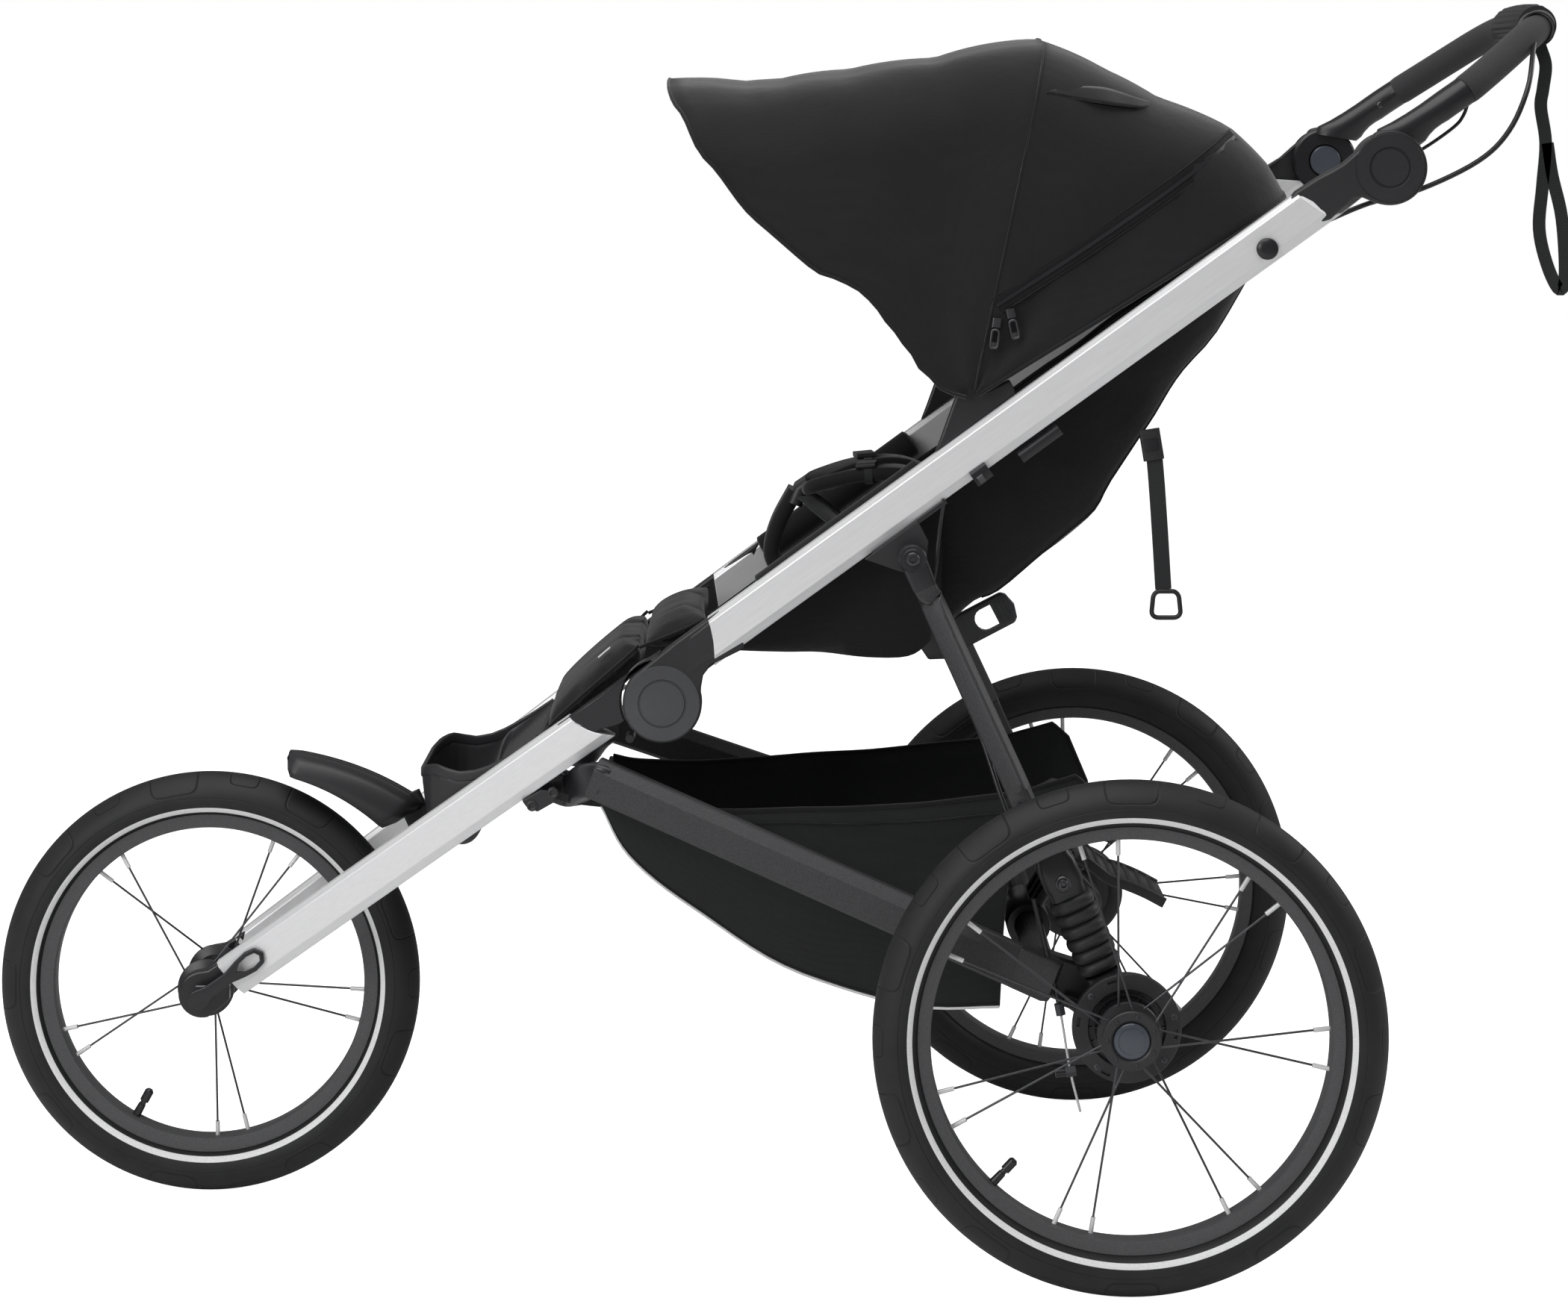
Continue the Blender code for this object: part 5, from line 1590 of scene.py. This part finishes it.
BASKET_STATIONS = ((-0.47, 0.3865, 0.11, -0.469, 0.3935, 0.116),
                   (-0.444, 0.34, 0.111, -0.443, 0.388, 0.119),
                   (-0.385, 0.293, 0.112, -0.385, 0.3855, 0.129),
                   (-0.3, 0.24, 0.114, -0.3, 0.389, 0.143),
                   (-0.1988, 0.206, 0.116, -0.1988, 0.3945, 0.148),
                   (-0.102, 0.203, 0.117, -0.102, 0.4025, 0.148))
BASKET_REAR = ((-0.098, 0.335, 0.14, -0.08, 0.406, 0.148),
               (-0.035, 0.368, 0.14, -0.034, 0.4215, 0.146),
               (-0.0195, 0.364, 0.14, -0.019, 0.408, 0.1455),
               (-0.001, 0.359, 0.14, -0.0005, 0.363, 0.144))


def basket():
    """A sagging lofted bin: pale piping at the foot, a hemmed rim that widens to the rear, a rear lip."""
    feet = curve_points([Vector(s[:3]) for s in BASKET_STATIONS], 6)
    rims = curve_points([Vector(s[3:]) for s in BASKET_STATIONS], 6)
    bottom = len(feet)
    ends = [BASKET_STATIONS[-1], *BASKET_REAR]
    for first, last in zip(ends, ends[1:]):
        for i in range(1, 7):
            feet.append(Vector(first[:3]).lerp(Vector(last[:3]), i / 6))
            rims.append(Vector(first[3:]).lerp(Vector(last[3:]), i / 6))
    loops = []
    for number, (foot, rim) in enumerate(zip(feet, rims)):
        tall = rim.y - foot.y
        sag = 0.0055 * min(1.0, tall / 0.1) if number < bottom else 0.0015
        bow = 0.0045 * min(1.0, tall / 0.1)
        walls = {}
        for side in (-1, 1):
            walls[side] = []
            for k in range(13):
                t = k / 12
                at = foot.lerp(rim, t)
                walls[side].append(Vector((at.x, side * (at.z + bow * math.sin(math.pi * t)), at.y)))
        floor = [Vector((foot.x, foot.z * v / 8, foot.y - sag * (1 - (v / 8) ** 2))) for v in range(-7, 8)]
        loop = walls[-1][::-1] + floor + walls[1]
        loops.append([q
                      + Vector((0, 0.0032 * noise.noise(q * 16.0),
                                0.0018 * noise.noise(q * 14.0 + Vector((4, 0, 0))))) for q in loop])
    shell = loft("shell", loops, CHARCOAL, open_loop=True, smooth=60)
    thicken(shell, 0.0018)
    parts = [shell]
    for side in (-1, 1):
        def edge(step, lift=(0, 0, 0), rows=loops):
            return [loop[step if side < 0 else -1 - step] + Vector(lift) for loop in rows]

        out = side * 0.0012
        parts.append(tube("hem", edge(0), 0.0022, CLOTH, 8))
        parts.append(tube("seam", edge(1, (0, out, 0), loops[8:bottom]), 0.0008, CLOTH, 6))
        parts.append(tube("piping", edge(12, (0, out, -0.0005), loops[:bottom]), 0.0013, PIPING, 8))
        parts.append(tube("welt", edge(12, (0, out / 3, 0.0028), loops[:bottom]), 0.0022, CLOTH, 8))
    parts.append(tube("rear_hem", loops[-1], 0.0022, CLOTH, 8))
    front = [Vector((-0.4705, y, 0.3915)) for y in (-0.113, -0.06, 0, 0.06, 0.113)]
    parts.append(tube("front_hem", front, 0.0024, CLOTH, 8))
    whole = merge("cargo_basket_look", parts)
    put(whole, "lower_frame", "cargo_basket", slot="charcoal_fabric")
    fold_flat(whole)


def storage_catch():
    """Bar with two eyes under the near hinge, tied to the front of the basket."""
    body = plate("catch", [(-0.5422, 0.395), (-0.5244, 0.4053), (-0.5086, 0.4033), (-0.512, 0.3937),
                           (-0.5278, 0.3847), (-0.5381, 0.3895)], -0.1312, -0.1226, BLACK, 0.0012)
    parts = [body]
    for x, z in ((-0.5326, 0.3905), (-0.5134, 0.4025)):
        parts.append(turned("eye", [(0.0022, -0.129), (0.0022, -0.1318), (0.0034, -0.1326),
                                    (0.005, -0.132), (0.0052, -0.1308), (0.0052, -0.123)], (x, z), BLACK,
                            28, 40, caps=False))
        parts.append(turned("hole", [(0.0026, -0.1315), (0.0001, -0.1315)], (x, z), BOOT, 20, caps=False))
    tie = curve_points([(-0.512, -0.127, 0.4), (-0.5, -0.123, 0.3955), (-0.486, -0.119, 0.3925),
                   (-0.47, -0.115, 0.39)], 5)
    parts.append(strap("tie", tie, 0.0075, 0.0016, WEBBING, up=(0, 1, 0)))
    put(merge("storage_catch_look", parts), "lower_frame", "storage_catch", slot="black_plastic")


# ------------------------------------------------------------ small fittings
def brake_pedal():
    """Ribbed tread on three arms from the collar round the rear cross tube."""
    tread = [(-0.024, 0.3245), (-0.013, 0.319), (0.006, 0.3045), (0.022, 0.299), (0.04, 0.2915),
             (0.058, 0.282)]
    path = curve_points([Vector((x, 0, z)) for x, z in tread], 5)
    parts = [bar("tread", path, oblong(0.088, 0.0064, 0.0025, 4), SATIN, up=(0, 0, 1))]
    for i in range(7):
        p = path[4 + i * 3]
        q = path[5 + i * 3]
        over = Vector((-(q - p).z, 0, (q - p).x)).normalized()
        spot = p + over * 0.0034
        parts.append(bar("rib", [spot + Vector((0, -0.038, 0)), spot + Vector((0, 0.038, 0))],
                         oblong(0.0042, 0.0022, 0.0008, 2), BLACK))
    for side in (-1, 1):
        edge = [p + Vector((0, side * 0.042, 0)) for p in path]
        parts.append(bar("edge", edge, oblong(0.0055, 0.0098, 0.002, 3), BLACK))
    collar = [(0.0136, -0.044), (0.02, -0.044), (0.0205, -0.043), (0.0205, 0.043), (0.02, 0.044),
              (0.0136, 0.044)]
    parts.append(hoop("collar", collar, SWING_PIVOT, SATIN, 48, 30))
    arm = curve_points([(-0.062, 0, 0.279), (-0.05, 0, 0.298), (-0.036, 0, 0.313),
                        (-0.018, 0, 0.318)], 4)
    for y in (-0.03, 0.0, 0.03):
        parts.append(bar("arm", [p + Vector((0, y, 0)) for p in arm], oblong(0.016, 0.012, 0.003), SATIN))
    put(merge("brake_pedal_look", parts), "parking_brake", "brake_pedal", slot="black_plastic")


def fold_handle():
    """Upright pull plate on the latch, with a rounded window and grip ridges at its free end."""
    tilt = math.radians(27.5)

    def at(s, n):
        return (-0.162 + s * math.cos(tilt) - n * math.sin(tilt), 0.517 + s * math.sin(tilt) + n
                * math.cos(tilt))

    outline = [at(-0.006, -0.009), at(-0.008, 0.009), at(-0.003, 0.0185), at(0.008, 0.0157),
               at(0.084, 0.0157), at(0.088, 0.012), at(0.0912, 0.0), at(0.088, -0.012),
               at(0.084, -0.0157), at(0.008, -0.0157)]
    body = plate("handle", outline, -0.0064, 0.0064, GREY, 0.0018)
    window = [at(0.07, -0.0113), at(0.07, 0.0106), at(0.059, 0.0106)]
    window += [at(0.059 - 0.009 * math.sin(a), -0.0003 + 0.0109 * math.cos(a)) for a in
               [math.pi * i / 8 for i in range(1, 8)]] + [at(0.059, -0.0113)]
    parts = [cut(bake(body), [plate("gap", window, -0.02, 0.02, GREY)])]
    for i in range(4):
        for side, _ in SIDES:
            low, high = at(0.074 + 0.0036 * i, -0.0105), at(0.074 + 0.0036 * i, 0.0105)
            y = side * 0.0066
            parts.append(bar("ridge", [Vector((low[0], y, low[1])), Vector((high[0], y, high[1]))],
                             circle(0.0008, 8), GREY, up=(0, 1, 0)))
    put(merge("fold_handle_look", parts), "fold_release", "fold_handle", slot="black_plastic")


def rail_fittings(side, label):
    """Stud, clip and stop on the upper rail."""
    stud_y = side * (high_rail_y(0.1337) + 0.0111)
    knob = turned("stud", [(0.0098, stud_y), (0.0098, stud_y + side * 0.003),
                           (0.0086, stud_y + side * 0.0044), (0.004, stud_y + side * 0.005),
                           (0.0004, stud_y + side * 0.0051)], (0.1337, 0.9059), SATIN, 40, 50)
    clip_at = on_rail(-0.134, side, -0.0196) + Vector((0, side * 0.0075, 0))
    clip = bar("clip", [clip_at - ALONG * 0.0085, clip_at + ALONG * 0.0085],
               oblong(0.013, 0.015, 0.003, 3), SATIN)
    lug = bar("lug", [clip_at - ALONG * 0.003 + Vector((0, side * 0.0055, -0.004)),
                      clip_at + ALONG * 0.003 + Vector((0, side * 0.0055, -0.004))],
              oblong(0.006, 0.008, 0.002, 3), GREY)
    stop_at = on_rail(-0.086, side, -0.029)
    stop = bar("stop", [stop_at - ALONG * 0.022, stop_at + ALONG * 0.022],
               oblong(0.012, 0.011, 0.004, 3), SATIN)
    put(merge(f"rail_fittings_{label}", [knob, clip, lug, stop]), "upper_frame")


def side_cables(side, label):
    """Cables from the upper rail to the strut and on to the brake."""
    run = side_line(side, [(-0.156, 0.1815, 0.678), (-0.16, 0.18, 0.65),
                   (-0.164, 0.183, 0.615), (-0.17, 0.185, 0.585)], 5)
    put(tube(f"brake_cable_{label}", run, 0.002, SATIN, 10), "upper_frame")
    lower = side_line(side, [(-0.156, 0.194, 0.54), (-0.125, 0.216, 0.47),
                     (-0.108, 0.236, 0.42), (-0.09, 0.248, 0.374)], 5)
    put(tube(f"strut_cable_{label}", lower, 0.0022, SATIN, 10), "struts")


def brake_adjuster(side, label):
    """Cable end at the brake, with its nut and adjuster."""
    reach = side * 0.272
    nut = Vector((-0.0578, reach, 0.2377))
    pull = curve_points([(-0.081, reach, 0.335), (-0.07, reach, 0.29), nut,
                         (-0.0487, reach, 0.1834), (-0.0397, reach, 0.1472)], 5)
    housing = tube("housing", pull[:11], 0.0022, SATIN, 10)
    wire = tube("wire", pull[10:], 0.0011, BRIGHT, 8)
    hexes = bar("hex", [nut + Vector((-0.001, 0, 0.005)), nut + Vector((0.001, 0, -0.005))],
                circle(0.0048, 6), GREY, smooth=20)
    low = Vector((-0.0487, reach, 0.1834))
    adjuster = bar("adjuster",
                   [low + Vector((-0.013, 0, -0.002)), low + Vector((-0.003, 0, -0.001))],
                   circle(0.0042, 12), SATIN)
    grip = bar("grip", [low + Vector((-0.004, 0, -0.001)), low + Vector((0.005, 0, 0.0005))],
               circle(0.0052, 6), GREY, smooth=20)
    put(merge(f"brake_adjuster_{label}", [housing, wire, hexes, adjuster, grip]), f"swing_arm_{label}")


def handlebar_cables():
    long_run = curve_points([(0.396, -0.105, 1.101), (0.386, -0.142, 1.085),
                             (0.374, -0.176, 1.05), (0.3564, -0.18, 1.012),
                             (0.3287, -0.179, 0.9845), (0.2767, -0.178, 0.959),
                             (0.2295, -0.177, 0.946), (0.1863, -0.177, 0.928)], 6)
    short_run = curve_points([(0.3206, -0.177, 1.04), (0.316, -0.1745, 1.026),
                              (0.3071, -0.1735, 1.015), (0.2801, -0.1735, 0.996),
                              (0.25, -0.1735, 0.98)], 6)
    put(tube("brake_cable_upper", long_run, 0.0024, SATIN, 10), "handlebar")
    put(tube("tilt_cable", short_run, 0.0016, SATIN, 10), "handlebar")


def wrist_strap():
    """Band round the grip and its hanging loop."""
    loop = [(0.401, -0.099, 1.09), (0.406, -0.1, 1.072), (0.4035, -0.1, 1.05),
            (0.4015, -0.1, 1.033), (0.406, -0.1, 1.0000), (0.403, -0.1, 0.96),
            (0.4, -0.1, 0.92), (0.408, -0.1, 0.885), (0.419, -0.1, 0.864),
            (0.424, -0.1, 0.879), (0.421, -0.1, 0.93), (0.412, -0.1, 0.97),
            (0.4075, -0.1, 1.0000)]
    path = curve_points(loop, 6)
    lead = strap("wrist_band", path, 0.012, 0.0014, WEBBING, up=(0, 1, 0))
    around = [Vector((0.3973 + 0.0156 * math.cos(TAU * i / 36), -0.099,
                      1.1057 + 0.0156 * math.sin(TAU * i / 36))) for i in range(37)]
    band = loft("loop",
                carried(around, [(-0.0008, -0.007), (0.0008, -0.007), (0.0008, 0.007), (-0.0008, 0.007)],
                        (0, 1, 0))[:-1], WEBBING, ring=True)
    put(merge("wrist_strap", [lead, band]), "handlebar")


# --------------------------------------------------------------------- stage
def stage():
    floor = mesh("floor", [(-14, -14, -0.001), (14, -14, -0.001), (14, 14, -0.001), (-14, 14, -0.001)],
                 [(0, 1, 2, 3)], floor_finish())


def floor_finish():
    s = Shader("pale_floor", (0.86, 0.86, 0.86), 0.9)
    s.paint(s.ramp(s.noise(1.5, 3), (0.84, 0.84, 0.84), (0.88, 0.88, 0.88)))
    s.out.inputs["Specular IOR Level"].default_value = 0.0
    s.out.inputs["Emission Color"].default_value = (1, 1, 1, 1)
    glow = s.node("ShaderNodeLightPath").outputs["Is Camera Ray"]
    s.link(s.math("MULTIPLY", glow, 0.95), s.out.inputs["Emission Strength"])
    return s.material


def lamp(name, size, power, place, look_at):
    data = bpy.data.lights.new(name, "AREA")
    data.shape = "RECTANGLE"
    data.size, data.size_y = size
    data.energy = power
    obj = bpy.data.objects.new(name, data)
    obj.location = place
    obj.rotation_euler = (Vector(look_at) - Vector(place)).to_track_quat("-Z", "Y").to_euler()
    bpy.context.scene.collection.objects.link(obj)


SKY_LIGHT = 0.22


def light():
    sky = bpy.data.worlds.new("studio")
    bpy.context.scene.world = sky
    sky.use_nodes = True
    tree = sky.node_tree
    back = tree.nodes["Background"]
    path = tree.nodes.new("ShaderNodeLightPath")
    pick = tree.nodes.new("ShaderNodeMapRange")
    pick.inputs["To Min"].default_value = SKY_LIGHT
    pick.inputs["To Max"].default_value = 1.0
    tree.links.new(path.outputs["Is Camera Ray"], pick.inputs["Value"])
    tree.links.new(pick.outputs[0], back.inputs["Strength"])
    back.inputs["Color"].default_value = (1, 1, 1, 1)
    lamp("top", (3.0, 2.4), 58, (-0.4, -0.9, 3.2), (0, 0, 0.4))
    lamp("front", (2.0, 1.6), 42, (-2.2, -2.6, 1.9), (0, 0, 0.5))
    lamp("rear", (1.6, 1.6), 18, (2.6, 0.8, 1.9), (0, 0, 0.6))
    view = bpy.context.scene.view_settings
    view.view_transform = "Standard"
    view.look = "None"


# The reference viewpoint, solved from the wheels. The lens is in millimetres, on a 36 mm sensor.
EYE = (-0.3047, -3.563, 1.0373)
LENS = 85.67
LENS_SHIFT = (0.00262, -0.3494)


def camera():
    """Level camera at the reference viewpoint. The lens shift frames the stroller below it."""
    place = world(EYE)
    data = bpy.data.cameras.new("camera")
    data.sensor_width = 36
    data.lens = LENS
    obj = bpy.data.objects.new("camera", data)
    bpy.context.scene.collection.objects.link(obj)
    obj.location = place
    obj.rotation_euler = (math.radians(90), 0, 0)
    for path, value in (("shift_x", LENS_SHIFT[0]), ("shift_y", LENS_SHIFT[1])):
        driver = data.driver_add(path).driver
        driver.type = "SCRIPTED"
        var = driver.variables.new()
        var.name = "y"
        var.type = "SINGLE_PROP"
        var.targets[0].id = obj
        var.targets[0].data_path = "location.y"
        driver.expression = f"{value} if abs(y - {place.y:.4f}) < 0.001 else 0"
    bpy.context.scene.camera = obj


def build():
    front_wheel()
    for side, label in SIDES:
        rubber = tyre_rubber(f"rear_tyre_rubber_{label}", REAR_R, 10.0, (0.1902, 0.1953), side)
        rear_wheel(side, label, rubber)
        swing_arm(side, label)
        bellows(side, label)
        strut(side, label)
        stay(side, label)
        rails(side, label)
        lower_hinge(side, label)
        upper_hinge(side, label)
        strut_bracket(side, label)
        handle_bracket(side, label)
    handlebar()
    twist_grip()
    front_dropouts()
    quick_release()
    front_fender()
    footwell()
    canopy()
    canopy_clips()
    leg_rest()
    seat_pan()
    seat_back()
    harness()
    recline_strap()
    for side, label in SIDES:
        bolster(side, label)
    basket()
    storage_catch()
    keep("hinge_cross_tube", TUBE)
    keep("rear_cross_tube", TUBE)
    brake_pedal()
    fold_handle()
    for side, label in SIDES:
        rail_fittings(side, label)
        side_cables(side, label)
        brake_adjuster(side, label)
    handlebar_cables()
    wrist_strap()
    stage()
    light()
    camera()


build()
